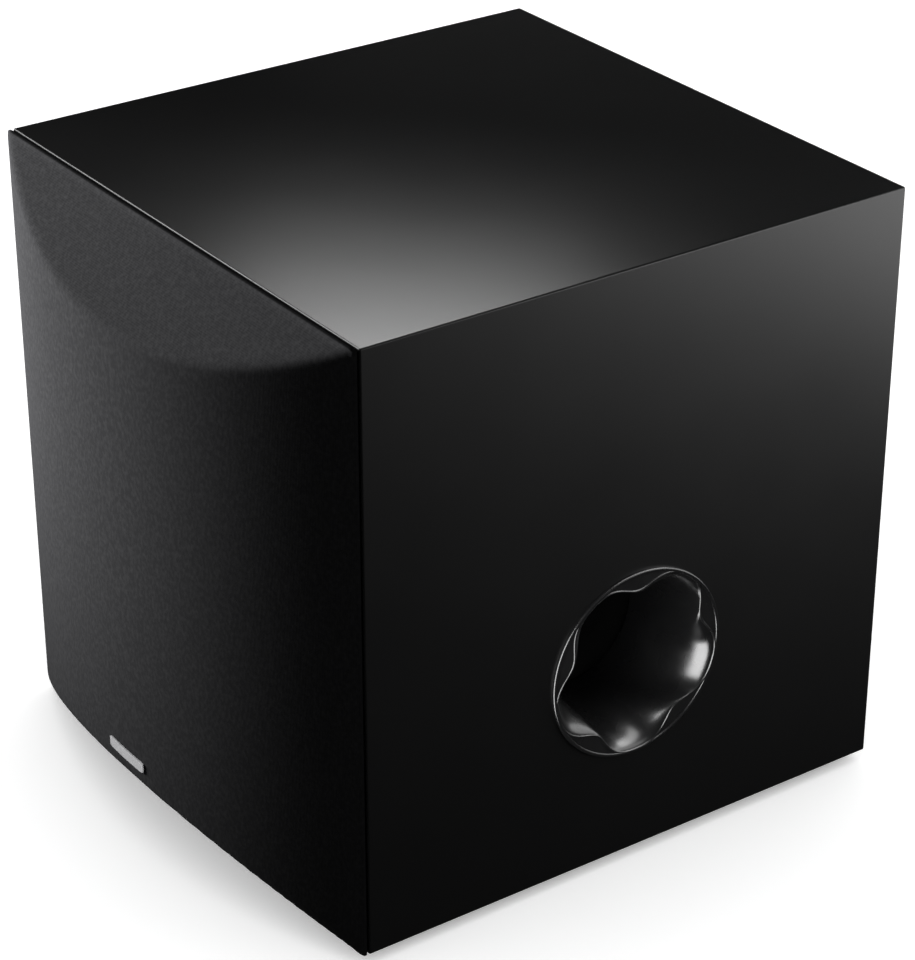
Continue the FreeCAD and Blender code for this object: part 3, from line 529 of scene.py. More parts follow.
@finish((0.52, 0.36, 0.12), 0.8, specular=0.3)
def spider_cloth(look):
    """Resin-stiffened cotton in a coarse open weave, with painted shade darkening the dips of the
    weave.
    """
    weave = look.calc("MULTIPLY", look.wave("X", 1.8), look.wave("Z", 1.8))
    # Painted shade: a darker brown where the weave's height is low.
    look.fill(weave, 0.6, -1.0, 0.0, (0.28, 0.18, 0.05))
    look.stain(look.noise(7, 4), 0.5, 0.4, 0.8, (0.6, 0.46, 0.2))
    look.bump(weave, 0.15, 0.7)


@finish(grey(0.013, 0.0005), 0.66, specular=0.35)
def cone_paper(look):
    """Pressed black pulp: visible fibres and a slightly uneven coat."""
    fibres = look.noise(1.1, 6)
    strands = look.cells(2.2, (1, 1, 0.3), "DISTANCE_TO_EDGE")
    look.fill(strands, 0.5, 0.0, 0.06, grey(0.04, 0.001))
    look.stain(fibres, 0.6, 0.5, 0.75, grey(0.03, 0.001))
    look.gloss(look.noise(12, 3), 0.55, 0.78)
    look.bump(fibres, 0.12, 0.6)
    look.bump(strands, 0.05, 0.5)


@finish(grey(0.011, 0.0005), 0.5, specular=0.4)
def cap_paper(look):
    """Treated dust cap, smoother than the cone."""
    fibres = look.noise(0.8, 5)
    look.stain(fibres, 0.5, 0.5, 0.8, grey(0.03, 0.001))
    look.gloss(look.noise(7, 4), 0.4, 0.62)
    look.bump(fibres, 0.05, 0.5)


@finish(grey(0.66, 0.02), 0.34, metallic=1.0)
def former_aluminium(look):
    """Rolled foil with fine drawing lines along it."""
    lines = look.noise(0.5, 3, (1, 0.05, 1))
    look.gloss(lines, 0.24, 0.5)
    look.stain(lines, 0.4, 0.4, 0.8, grey(0.45, 0.02))
    look.bump(lines, 0.01, 0.4)


@finish((0.62, 0.26, 0.10), 0.28, metallic=0.9)
def copper_wire(look):
    """Enamelled turns laid side by side, with painted shade in the grooves between them."""
    turns = look.wave("Y", 0.5)
    # Painted shade: darker copper in the troughs of the turns' relief, where the grooves lie.
    look.fill(turns, 0.7, -1.0, -0.2, (0.18, 0.06, 0.02))
    look.gloss(look.noise(3, 3), 0.2, 0.38)
    look.bump(turns, 0.1, 0.8)


@finish((0.52, 0.53, 0.54), 0.32, metallic=1.0)
def zinc_steel(look):
    """Zinc-plated steel with a spangle and handling marks."""
    look.soft_edges(0.25)
    look.stain(look.cells(2.4), 0.5, 0.0, 0.6, (0.38, 0.39, 0.41))
    look.gloss(look.noise(2.0, 4), 0.22, 0.46)
    look.bump(look.noise(0.4, 3), 0.008, 0.4)


@finish(grey(0.045, 0.003), 0.75)
def ferrite(look):
    """Sintered magnet: dull, with chips and pale grinding dust."""
    grit = look.noise(1.0, 6)
    look.stain(grit, 0.7, 0.52, 0.8, grey(0.12, 0.005))
    look.gloss(look.noise(9, 3), 0.62, 0.86)
    look.bump(grit, 0.08, 0.5)


@finish((0.70, 0.55, 0.26), 0.3, metallic=1.0)
def terminal_brass(look):
    """Tinned brass, tarnished in patches."""
    tarnish = look.noise(1.8, 4)
    look.stain(tarnish, 0.6, 0.5, 0.8, (0.36, 0.24, 0.09))
    look.gloss(tarnish, 0.22, 0.46)
    look.bump(look.noise(0.4, 2), 0.01, 0.4)


@finish((0.24, 0.018, 0.016), 0.42)
def wire_cover(look):
    """Red flexible insulation with a waxy sheen and scuffs."""
    scuffs = look.noise(1.6, 4, (1, 1, 0.3))
    look.stain(scuffs, 0.5, 0.55, 0.8, (0.33, 0.09, 0.08))
    look.gloss(scuffs, 0.34, 0.6)
    look.bump(scuffs, 0.02, 0.4)


@finish(grey(0.014, 0.0005), 0.5)
def plate_paint(look):
    """Textured black paint on sheet steel: fine pebbles, paler where edges are rubbed."""
    look.wear(0.5, look.spread(look.noise(5, 4), 0.0, 0.6, 0.5, 0.7), grey(0.10))
    pebble = look.cells(0.8, feature="SMOOTH_F1")
    look.fill(pebble, 0.5, 0.0, 0.35, grey(0.022, 0.001))
    look.gloss(look.noise(16, 4), 0.42, 0.58)
    look.bump(pebble, 0.05, 0.6)


@finish((0.018, 0.10, 0.04), 0.4)
def board_green(look):
    """Circuit board: solder mask over a faint grid of tracks and pads."""
    tracks = look.cells(4, feature="DISTANCE_TO_EDGE")
    look.fill(tracks, 0.7, 0.04, 0.08, (0.03, 0.17, 0.06))
    look.fill(look.cells(6), 1.0, 0.05, 0.08, (0.5, 0.5, 0.48))
    look.gloss(look.noise(8, 3), 0.32, 0.5)
    look.bump(tracks, 0.03, 0.4)


@finish((0.50, 0.51, 0.53), 0.42, metallic=1.0)
def sink_aluminium(look):
    """Extruded aluminium with die lines up the fins."""
    lines = look.noise(0.6, 3, (1, 1, 0.04))
    look.soft_edges(0.2)
    look.stain(lines, 0.4, 0.4, 0.8, (0.34, 0.35, 0.37))
    look.gloss(lines, 0.34, 0.56)
    look.bump(lines, 0.02, 0.5)


@finish((0.11, 0.10, 0.095), 0.55, metallic=0.7)
def core_iron(look):
    """Stacked and varnished iron sheets."""
    sheets = look.wave("Z", 0.6)
    look.fill(sheets, 0.7, -1.0, -0.3, (0.03, 0.028, 0.025))
    look.stain(look.noise(6, 4), 0.5, 0.5, 0.8, (0.15, 0.09, 0.05))
    look.bump(sheets, 0.06, 0.7)


@finish((0.012, 0.018, 0.075), 0.25)
def capacitor_cover(look):
    """Shrunk plastic sleeve with fine wrinkles."""
    wrinkles = look.noise(3, 3, (1, 0.2, 1))
    look.stain(wrinkles, 0.4, 0.5, 0.8, (0.03, 0.045, 0.14))
    look.gloss(wrinkles, 0.16, 0.36)
    look.bump(wrinkles, 0.05, 0.4)


@finish(grey(0.011, 0.0005), 0.42)
def knob_plastic(look):
    """Satin moulded knob, shinier where fingers grip it."""
    look.gloss(look.noise(4, 3), 0.32, 0.52)
    look.stain(look.noise(1.0, 4), 0.5, 0.55, 0.8, grey(0.026))
    look.bump(look.cells(0.3), 0.012, 0.4)


@finish(grey(0.010, 0.0005), 0.45)
def switch_plastic(look):
    """Fine-grained housing plastic with softened edges and a little dust."""
    look.wear(0.35, look.spread(look.noise(2, 3), 0.1, 0.5, 0.4, 0.7), grey(0.04))
    look.stain(look.noise(6, 5), 0.4, 0.52, 0.8, (0.025, 0.024, 0.023))
    look.gloss(look.noise(5, 3), 0.36, 0.56)
    look.bump(look.cells(0.35), 0.015, 0.4)


@finish(grey(0.009, 0.0005), 0.2)
def rocker_plastic(look):
    """Polished rocker with finger marks."""
    marks = look.noise(3, 4)
    look.gloss(marks, 0.12, 0.36)
    look.stain(marks, 0.4, 0.5, 0.8, grey(0.02))
    look.bump(look.noise(0.6, 2), 0.006, 0.3)


@finish((0.62, 0.61, 0.58), 0.4)
def rca_plastic(look):
    """White insulator, a little yellowed."""
    age = look.noise(2, 4)
    look.stain(age, 0.6, 0.45, 0.8, (0.5, 0.47, 0.38))
    look.gloss(age, 0.3, 0.52)
    look.bump(look.noise(0.4, 2), 0.01, 0.3)


@finish((0.14, 0.136, 0.13), 0.2, metallic=1.0)
def rca_metal(look):
    """Nickel plate with rings of wear from plugs."""
    rings = look.noise(0.5, 2, (0.05, 1, 0.05))
    look.gloss(rings, 0.08, 0.26)
    look.stain(look.noise(1.2, 3), 0.4, 0.55, 0.8, (0.10, 0.094, 0.084))
    look.bump(rings, 0.008, 0.4)


@finish((0.035, 0.30, 0.06), 0.14)
def led_lens(look):
    """Green diffused lens with tiny bubbles."""
    look.fill(look.cells(0.5), 0.6, 0.0, 0.3, (0.10, 0.46, 0.16))
    look.gloss(look.noise(0.8, 2), 0.1, 0.22)
    look.set(Transmission_Weight=0.35)


@finish((0.26, 0.007, 0.007), 0.34)
def lever_red(look):
    """Translucent-looking red lever with grip scuffs."""
    scuffs = look.noise(1.4, 4)
    look.stain(scuffs, 0.5, 0.5, 0.8, (0.34, 0.03, 0.026))
    look.gloss(scuffs, 0.22, 0.46)
    look.bump(scuffs, 0.015, 0.4)


@finish(grey(0.010, 0.0005), 0.3)
def lever_black(look):
    """Black lever, scuffed grey on its grip."""
    scuffs = look.noise(1.3, 4)
    look.stain(scuffs, 0.5, 0.52, 0.8, grey(0.03))
    look.gloss(scuffs, 0.22, 0.46)
    look.bump(scuffs, 0.015, 0.4)


@finish(grey(0.68, -0.01), 0.55)
def print_white(look):
    """Screen-printed ink, thin at its edges."""
    ink = look.noise(0.4, 4)
    look.stain(ink, 0.6, 0.55, 0.75, grey(0.42))
    look.gloss(ink, 0.45, 0.65)
    look.bump(ink, 0.01, 0.3)


@finish(grey(0.94), 0.7)
def studio_floor(look):
    """White paper that glows a little, so that it stays white in the shade."""
    look.set(Emission_Color=(1, 1, 1, 1), Emission_Strength=0.25)
    look.stain(look.noise(350, 3), 0.5, 0.35, 0.7, grey(0.92))


finishes = {name: make() for name, make in FINISHES.items()}
finishes["grille_cloth"] = finishes["grille_weave"]


# ---- cabinet ----
EDGE_RADIUS = 0.9 * MM
EDGE_STEPS = 4
PORT_CLEARANCE = 0.3 * MM
HOLE_OVERSHOOT = 4 * MM
flare_low, flare_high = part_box("port_flare")
PORT_CENTRE = Vector((SIDE, (flare_low.y + flare_high.y) / 2, (flare_low.z + flare_high.z) / 2))
FLANGE_RADIUS = (flare_high.y - flare_low.y) / 2
FLANGE_LEDGE = 1.8 * MM
FLARE_BODY_RADIUS = FLANGE_RADIUS - FLANGE_LEDGE


def wrapped_cabinet():
    """Four mitred walls under one film: a ring along Y, rounded on every outer edge."""
    near = quarter_round(EDGE_RADIUS, EDGE_STEPS)
    far = [(inset, BACK - FRONT - depth) for inset, depth in near[::-1]]
    corners = ((SIDE, BOTTOM), (SIDE, TOP), (-SIDE, TOP), (-SIDE, BOTTOM))
    rings = []
    for inset, depth in [(PANEL, 0.0)] + near + far + [(PANEL, BACK - FRONT)]:
        radius = max(EDGE_RADIUS - inset, 0.0)
        ring = []
        for index, (x, z) in enumerate(corners):
            centre_x = x - math.copysign(inset + radius, x)
            centre_z = z - (inset + radius) * (1 if z == TOP else -1)
            for c, s in arc(90 * index - 90, 90 * index, EDGE_STEPS):
                ring.append(Vector((centre_x + radius * c, FRONT + depth, centre_z + radius * s)))
        rings.append(ring)
    walls = tidy(skin(rings, wrap_rings=True))
    made = piece("wrapped_cabinet", walls, None, "cabinet_film", crease=40)
    hole_radius = FLARE_BODY_RADIUS + PORT_CLEARANCE
    reach = PANEL + HOLE_OVERSHOOT
    hole = [(0.0, -reach), (hole_radius, -reach), (hole_radius, reach), (0.0, reach)]
    carve(made, lathe(hole, PORT_CENTRE, ACROSS_X, 128, closed=False))
    even_normals = made.modifiers.new("even_normals", "WEIGHTED_NORMAL")
    even_normals.keep_sharp = True
    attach(made, "cabinet")
    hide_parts("top_panel", "bottom_panel", "left_panel", "right_panel")
    return made


# ---- grille ----
cloth_low, cloth_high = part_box("grille_cloth")
GRILLE_BACK = cloth_high.y
GRILLE_RIM = 2.0 * MM
GRILLE_BULGE = GRILLE_BACK - GRILLE_RIM - cloth_low.y
BULGE_RADIUS = (SIDE**2 + GRILLE_BULGE**2) / (2 * GRILLE_BULGE)
BULGE_AXIS_Y = cloth_low.y + BULGE_RADIUS
TOP_FACET_SLOPE = 1.108
BOTTOM_FACET_SLOPE = 0.947
CLOTH_THICK = 0.55 * MM
CLOTH_COLUMNS, CLOTH_ROWS = 150, 152
CREASE_SOFTNESS = 1.6 * MM
HEM_RADIUS = 0.9 * MM
HEM_STEPS = 4
GLUED_HEM = 5.5 * MM
badge_low, badge_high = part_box("badge")


def grille_front(x, z):
    """Y of the cloth's outer face: a bow across the width, cut by a slanting facet at each end."""
    bow = BULGE_AXIS_Y - math.sqrt(BULGE_RADIUS**2 - x * x)
    rim = GRILLE_BACK - GRILLE_RIM
    upper = rim - (TOP - z) / TOP_FACET_SLOPE
    lower = rim - (z - BOTTOM) / BOTTOM_FACET_SLOPE
    return soft_max(soft_max(bow, upper, CREASE_SOFTNESS), lower, CREASE_SOFTNESS)


def which_edge(value, low, high):
    """-1 or 1 on the low or the high edge, 0 between them."""
    near = 1e-7
    return 1 if value >= high - near else -1 if value <= low + near else 0


def hem_steps():
    """The hem's way round the rim: how far out, how far back, or at which level in Y."""
    quarter = quarter_round(HEM_RADIUS, HEM_STEPS)[1:]
    hem = [(HEM_RADIUS - inset, depth, None) for inset, depth in quarter]
    hem.append((HEM_RADIUS, None, GRILLE_BACK - HEM_RADIUS))
    hem += [(HEM_RADIUS - depth, None, GRILLE_BACK - inset) for inset, depth in quarter]
    return hem + [(-GLUED_HEM, None, GRILLE_BACK)]


def grille_cloth_piece():
    """The cloth over the bow, round the rim and glued under it."""
    columns, rows = CLOTH_COLUMNS, CLOTH_ROWS
    half = SIDE - HEM_RADIUS
    low, high = BOTTOM + HEM_RADIUS, TOP - HEM_RADIUS
    up = high - low
    bm = bmesh.new()
    grid = []
    for i in range(columns + 1):
        x = -half + 2 * half * i / columns
        heights = [low + up * j / rows for j in range(rows + 1)]
        grid.append([bm.verts.new((x, grille_front(x, z), z)) for z in heights])
    for i in range(columns):
        for j in range(rows):
            bm.faces.new((grid[i][j], grid[i + 1][j], grid[i + 1][j + 1], grid[i][j + 1]))
    border = [column[0] for column in grid[:-1]] + grid[-1][:-1]
    border += [column[-1] for column in grid[:0:-1]] + grid[0][:0:-1]
    previous = border
    for outward, back, level in hem_steps():
        ring = []
        for vert in border:
            x, y, z = vert.co
            out_x, out_z = which_edge(x, -half, half), which_edge(z, low, high)
            step = outward * (math.sqrt(0.5) if out_x and out_z and outward > 0 else 1)
            y = y + back if level is None else level
            ring.append(bm.verts.new((x + step * out_x, y, z + step * out_z)))
        for i in range(len(border)):
            j = (i + 1) % len(border)
            bm.faces.new((previous[i], previous[j], ring[j], ring[i]))
        previous = ring
    bmesh.ops.recalc_face_normals(bm, faces=bm.faces)
    made = piece("grille_fabric", bm, None, "grille_weave", crease=80)
    thicken = made.modifiers.new("thickness", "SOLIDIFY")
    thicken.thickness = CLOTH_THICK
    thicken.offset = -1.0
    settle(made)
    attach(made, "grille")
    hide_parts("grille_cloth")
    return made


def badge_piece():
    """Blank bright plate that follows the bow of the cloth, with a rounded edge."""
    base, lift, edge = 0.1 * MM, 0.95 * MM, 0.35 * MM
    end_taper = 0.12
    columns = 24
    middle_z = (badge_low.z + badge_high.z) / 2
    half = (badge_high.z - badge_low.z) / 2
    section = round_corners([(half, base), (half, lift, edge), (-half, lift, edge), (-half, base)])
    rings = []
    for i in range(columns + 1):
        x = badge_low.x + (badge_high.x - badge_low.x) * i / columns
        end = min(x - badge_low.x, badge_high.x - x)
        shrink = 1 - end_taper * max(0.0, 1 - end / edge)
        angle = math.asin(x / BULGE_RADIUS)
        ring = []
        for z, height in section:
            radius = BULGE_RADIUS + base + (height - base) * shrink
            ring.append(Vector((x, BULGE_AXIS_Y - radius * math.cos(angle), middle_z + z * shrink)))
        rings.append(ring)
    piece("badge_plate", close_ends(skin(rings), len(section)), "grille", "badge_metal", "badge")


# ---- port ----
PORT_LOBES = 5
FIRST_LOBE = math.radians(-17.4)
PORT_TWIST = math.radians(-34.0)
LOBE_SHARPNESS = 0.22
MOUTH_MEAN = 42.1 * MM
LOBE_HEIGHT = 4.0 * MM
THROAT_RADIUS = 34.0 * MM
FLARE_LENGTH = flare_high.x - flare_low.x
MOUTH_X = flare_high.x
PORT_SEGMENTS = 240
PORT_LIP = 0.7 * MM
RIM_WIDTH = 1.5 * MM
RING_STEP = 0.5 * MM
MOUTH_BEAD = 0.55 * MM
TUBE_CLEARANCE = 2.1 * MM
TUBE_SOCKET = 16 * MM
SOCKET_TAPER = 10 * MM
DEPTH_CURVE, WIDTH_CURVE, LOBE_FADE = 1.5, 2.4, 1.3


def port_ring(x, mean, lobe=0.0, twist=0.0):
    """Points round the port: a circle, or lobes that rise above and dip below it."""
    points = []
    for i in range(PORT_SEGMENTS):
        angle = math.tau * i / PORT_SEGMENTS
        wave = math.cos(PORT_LOBES * angle) - LOBE_SHARPNESS * math.cos(2 * PORT_LOBES * angle)
        turn = angle + FIRST_LOBE + twist
        radius = mean + lobe * wave
        y, z = radius * math.cos(turn), radius * math.sin(turn)
        points.append(Vector((x, PORT_CENTRE.y + y, PORT_CENTRE.z + z)))
    return points


def port_horn():
    """Flange, rolled lip and twisted lobes that run in to a round throat, with their body behind."""
    rim = FLANGE_RADIUS - RIM_WIDTH
    ring_face = MOUTH_X - RING_STEP
    bead = MOUTH_BEAD
    rings = [port_ring(MOUTH_X - inset, FLANGE_RADIUS - depth)
             for inset, depth in quarter_round(PORT_LIP, 4)]
    rings += [
        port_ring(MOUTH_X, rim),
        port_ring(MOUTH_X - 0.3 * RING_STEP, rim - 0.3 * RING_STEP),
        port_ring(ring_face, rim - 0.6 * RING_STEP),
        port_ring(ring_face, MOUTH_MEAN + 2 * bead, LOBE_HEIGHT),
    ]
    for c, s in arc(0, 180, 6):
        rings.append(port_ring(MOUTH_X - bead * (1 - s), MOUTH_MEAN + bead * (1 + c), LOBE_HEIGHT))
    steps = 40
    for k in range(1, steps + 1):
        t = k / steps
        mean = MOUTH_MEAN + (THROAT_RADIUS - MOUTH_MEAN) * (1 - (1 - t) ** WIDTH_CURVE)
        x = MOUTH_X - bead - (FLARE_LENGTH - bead) * t**DEPTH_CURVE
        rings.append(port_ring(x, mean, LOBE_HEIGHT * (1 - t) ** LOBE_FADE, PORT_TWIST * t))
    tube_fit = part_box("port_tube")[1].z - PORT_CENTRE.z - TUBE_CLEARANCE
    end = MOUTH_X - FLARE_LENGTH
    rings += [
        port_ring(end, tube_fit),
        port_ring(end + TUBE_SOCKET, tube_fit),
        port_ring(end + TUBE_SOCKET + SOCKET_TAPER, FLARE_BODY_RADIUS),
        port_ring(SIDE, FLARE_BODY_RADIUS),
        port_ring(SIDE, FLANGE_RADIUS),
    ]
    horn = tidy(skin(rings, wrap_rings=True))
    return piece("port_horn", horn, "cabinet", "port_gloss", "port_flare", crease=50)


# ---- driver ----
gasket_low, gasket_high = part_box("driver_gasket")
DRIVER_CENTRE = Vector((0, FRONT, (gasket_low.z + gasket_high.z) / 2))
FLANGE_OUTER = gasket_high.x
CONE_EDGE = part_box("cone")[1].x
CONE_NECK = 26.2 * MM
CONE_LIP_DEPTH = 1.0 * MM
CONE_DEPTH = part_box("cone")[1].y - FRONT - CONE_LIP_DEPTH
CONE_WALL = 0.9 * MM
CONE_RINGS = (43 * MM, 55 * MM, 67 * MM)
ROLL_WALL = 1.0 * MM
ROLL_RADIUS = 8.0 * MM
ROLL_CENTRE = 87.2 * MM
ROLL_SEAT = 2.0 * MM
ROLL_FILLET = 0.8 * MM
SPIDER_DEPTH = 39.4 * MM
SPIDER_THICK = 0.7 * MM
CAP_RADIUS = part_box("dust_cap")[1].x
CAP_RISE = 8.0 * MM
CAP_THICK = 0.7 * MM
FORMER_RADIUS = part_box("coil_former")[1].x
DRIVER_SCREWS = 8
DRIVER_SCREW_CIRCLE = 102.0 * MM


def blend_round_driver(made):
    """Bakes the ring's placement into its mesh."""
    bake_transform(made)


def roll_surround():
    """Half-roll of rubber with a flat lip on each side and a small fillet where the roll starts."""
    outer = ROLL_RADIUS + ROLL_WALL / 2
    inner = ROLL_RADIUS - ROLL_WALL / 2
    lip_in = CONE_EDGE + 0.35 * MM
    lip_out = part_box("surround")[1].x
    lift = ROLL_SEAT - ROLL_WALL
    steps = 26
    profile = [(lip_in, ROLL_SEAT), (lip_in, lift)]
    for c, s in arc(180, 0, steps):
        depth = -soft_max(outer * s - ROLL_SEAT, -lift, ROLL_FILLET)
        profile.append((ROLL_CENTRE + outer * c, depth))
    profile += [(lip_out, lift), (lip_out, ROLL_SEAT)]
    profile += [(ROLL_CENTRE + inner * c, ROLL_SEAT - inner * s) for c, s in arc(0, 180, steps)]
    roll = lathe(profile, DRIVER_CENTRE, segments=180)
    made = piece("rubber_surround", roll, None, "surround_rubber", "surround", crease=40)
    blend_round_driver(made)
    return made


def corrugated_spider():
    """Rippled ring that runs flat into its glued rim."""
    start = FORMER_RADIUS + 0.4 * MM
    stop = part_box("spider")[1].x
    ripples, ripple_height, rim_drop = 5, 1.4 * MM, 1.7 * MM
    steps = 100
    top = []
    for k in range(steps + 1):
        share = k / steps
        fade = min(1.0, (1 - share) * 12)
        ripple = ripple_height * fade * math.sin(math.tau * ripples * share)
        depth = SPIDER_DEPTH + ripple + rim_drop * (1 - fade)
        top.append((start + (stop - start) * share, depth))
    bottom = [(radius, level + SPIDER_THICK) for radius, level in top[::-1]]
    ring = lathe(top + bottom, DRIVER_CENTRE, segments=120)
    made = piece("corrugated_spider", ring, None, "spider_cloth", "spider", crease=60)
    blend_round_driver(made)


def ribbed_cone():
    """Straight paper cone with three pressed rings."""
    steps = 90
    rib_height, rib_width = 0.55 * MM, 1.1 * MM
    front = []
    for k in range(steps + 1):
        radius = CONE_NECK + (CONE_EDGE - CONE_NECK) * k / steps
        depth = CONE_DEPTH + (CONE_LIP_DEPTH - CONE_DEPTH) * k / steps
        rib = sum(math.exp(-(((radius - ring) / rib_width) ** 2)) for ring in CONE_RINGS)
        front.append((radius, depth - rib_height * rib))
    back = [(radius, depth + CONE_WALL) for radius, depth in front[::-1]]
    cone = lathe(front + back, DRIVER_CENTRE, segments=180)
    return piece("ribbed_cone", cone, "cone_assembly", "cone_paper", "cone", crease=50)


def dome_cap():
    """Pressed dome with a bead of glue round it."""
    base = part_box("dust_cap")[1].y - FRONT
    radius = (CAP_RADIUS**2 + CAP_RISE**2) / (2 * CAP_RISE)
    half_angle = math.asin(CAP_RADIUS / radius)
    top = base - CAP_RISE
    dome = [(radius * s, top + radius * (1 - c)) for c, s in arc(0, math.degrees(half_angle), 40)]
    under = [(max(out - 0.1 * MM, 0.0), depth + CAP_THICK) for out, depth in dome[::-1]]
    bead_radius, bead_depth = CAP_RADIUS + 0.1 * MM, base - 0.2 * MM
    bead = [(bead_radius + 0.9 * MM * c, bead_depth + 0.55 * MM * s) for c, s in circle(12)]
    turned = [lathe(profile, DRIVER_CENTRE, segments=144) for profile in (dome + under, bead)]
    return piece("dome_cap", merge(turned), "cone_assembly", "cap_paper", "dust_cap", crease=50)


def foam_gasket():
    """Soft ring over the flange, with rounded edges and a pressed groove inside the screws."""
    inner = ROLL_CENTRE + ROLL_RADIUS + 3.0 * MM
    groove = inner + 1.6 * MM
    wide, deep, bend = 0.4 * MM, 0.5 * MM, 0.1 * MM
    outline = round_corners([
        (inner, 0.0, 0.5 * MM), (groove - wide, 0.0, bend), (groove, deep, bend),
        (groove + wide, 0.0, bend), (FLANGE_OUTER, 0.0, 0.6 * MM),
        (FLANGE_OUTER, ROLL_SEAT), (inner, ROLL_SEAT),
    ])
    ring = lathe(outline, DRIVER_CENTRE, segments=180)
    return piece("foam_gasket", ring, "cabinet", "gasket_foam", "driver_gasket", crease=60)


# ---- screws ----
def driver_screw_places():
    turns = [math.tau * (i + 0.5) / DRIVER_SCREWS for i in range(DRIVER_SCREWS)]
    return [DRIVER_CENTRE + (RIGHT * math.cos(turn) + UP * math.sin(turn)) * DRIVER_SCREW_CIRCLE
            for turn in turns]


def plate_screw_places():
    low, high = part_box("amp_plate")
    inset = 6 * MM
    x = high.x - inset
    half = (high.z - low.z) / 2
    rows = (inset - half, -half / 3, half / 3, half - inset)
    spots = [(side * x, row) for side in (-1, 1) for row in rows] + [(0.0, rows[0]), (0.0, rows[-1])]
    return [Vector((across, FACE, MIDDLE.z + row)) for across, row in spots]


def cross_cutter(place, size, depth, axes, turn):
    """Two crossed wedges for the recess of a cross-head screw."""
    across, up, along = axes
    half, thin = size / 2, size / 9
    narrow, short = 0.6, 0.45
    parts = []
    for angle in (turn, turn + math.pi / 2):
        long_way = across * math.cos(angle) + up * math.sin(angle)
        side_way = along.cross(long_way)
        bm = bmesh.new()
        mouth, tip = [], []
        for sx, sy in SQUARE:
            edge, side = long_way * (sx * half), side_way * (sy * thin)
            mouth.append(bm.verts.new(place + edge + side + along * depth))
            tip.append(bm.verts.new(place + edge * short + side * narrow - along * depth))
        bm.faces.new(mouth)
        bm.faces.new(tip[::-1])
        for i in range(4):
            j = (i + 1) % 4
            bm.faces.new((mouth[i], tip[i], tip[j], mouth[j]))
        bmesh.ops.recalc_face_normals(bm, faces=bm.faces)
        parts.append(bm)
    return parts


def pan_head_screws(name, places, outward, node, head_radius, shank_length):
    """Domed cross-head screws whose heads face the way given."""
    axes = (RIGHT, UP, outward)
    shank_radius, height = 2.0 * MM, 2.4 * MM
    dome = round_corners([
        (shank_radius, -shank_length), (shank_radius, 0.0, 0.0), (head_radius, 0.0, 0.15 * MM),
        (head_radius, height * 0.55, 0.5 * MM), (head_radius * 0.6, height, 1.2 * MM), (0.0, height),
    ], steps=5, closed=False)
    profile = [(0.0, -shank_length)] + [tuple(point) for point in dome]
    heads, cutters = [], []
    for i, place in enumerate(places):
        heads.append(lathe(profile, place, axes, 48, closed=False))
        top = place + outward * height
        cutters.append(cross_cutter(top, head_radius * 1.15, height * 0.45, axes, 0.5 * i))
    made = piece(name, merge(heads), None, "black_steel", crease=40)
    for arm in zip(*cutters):
        carve(made, merge(arm))
    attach(made, "cabinet")
    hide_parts(node)


# ---- amplifier ----
KNOB_RIDGES = 40
RIDGE_DEPTH = 0.28 * MM
ROCKER_DEPTH = 3.5 * MM
ROCKER_TILT = math.radians(-7.0)
LEVER_DEPTH, LEVER_DROP = 8.5 * MM, 15 * MM
FIGURE_SMOOTHNESS = 6
PRINT_LIFT = 0.05 * MM
PRINT_EDGE = 0.02 * MM
TEXT_LIFT = 0.02 * MM
DIAL_NUMBERS = {
    "volume_knob": ("0", "2", "4", "6", "8", "10"),
    "crossover_knob": ("40", "60", "80", "100", "120", "150"),
}
SWITCH_MARKS = {"phase_switch_body": ("0", "180"), "standby_switch_body": ("0", "1")}


def on_face(node, lift=0.0):
    """The point on the amplifier's face in front of a node's middle."""
    middle = centre_of(node)
    return Vector((middle.x, FACE + lift, middle.z))


def control_knob(name, body):
    """Knob with a skirt, a ridged grip that tapers a little and a dished top."""
    node = f"{name}_knob"
    low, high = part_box(node)
    centre = on_face(node, low.y - FACE)
    radius = (high.x - low.x) / 2 / MM
    length = (high.y - low.y) / MM
    section = round_corners(mm(
        (3.05, 4.2), (7.4, 4.2), (7.4, 0, 0.2), (radius, 0, 0.3), (radius, 1.9, 0.4),
        (radius - 1.2, 2.6, 0.3), (radius - 1.8, length - 0.4, 0.9), (radius - 3.4, length, 0.5),
        (radius - 4.2, length - 0.35, 0.3), (0, length - 0.35), (0, 9.5), (3.05, 9.5),
    ))
    grip_from, grip_to, grip_radius = 2.9 * MM, (length - 1.0) * MM, (radius - 2.5) * MM
    segments = KNOB_RIDGES * 6
    rings = []
    for reach, step in section:
        grip = grip_from < step < grip_to and reach > grip_radius
        ring = []
        for i, (c, s) in enumerate(circle(segments)):
            ridge = (0.5 - 0.5 * math.cos(math.tau * KNOB_RIDGES * i / segments)) ** 2
            out = reach - (RIDGE_DEPTH * ridge if grip else 0.0)
            ring.append(centre + Vector((out * c, step, out * s)))
        rings.append(ring)
    knob = tidy(skin(rings, wrap_rings=True))
    piece(f"{name}_dial", knob, body, "knob_plastic", node, crease=45)


def pointer_line(name, body):
    """White inlay from near the middle of the knob's top to its edge."""
    low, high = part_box(f"{name}_knob")
    length, rim = 7.0 * MM, 2.4 * MM
    middle = Vector(((low.x + high.x) / 2, high.y - 0.4 * MM, high.z - rim - length / 2))
    line = slab(oblong(1.1 * MM, length, 0.5 * MM), middle, 0.35 * MM, edge=0.1 * MM)
    piece(f"{name}_pointer", line, body, "print_white")


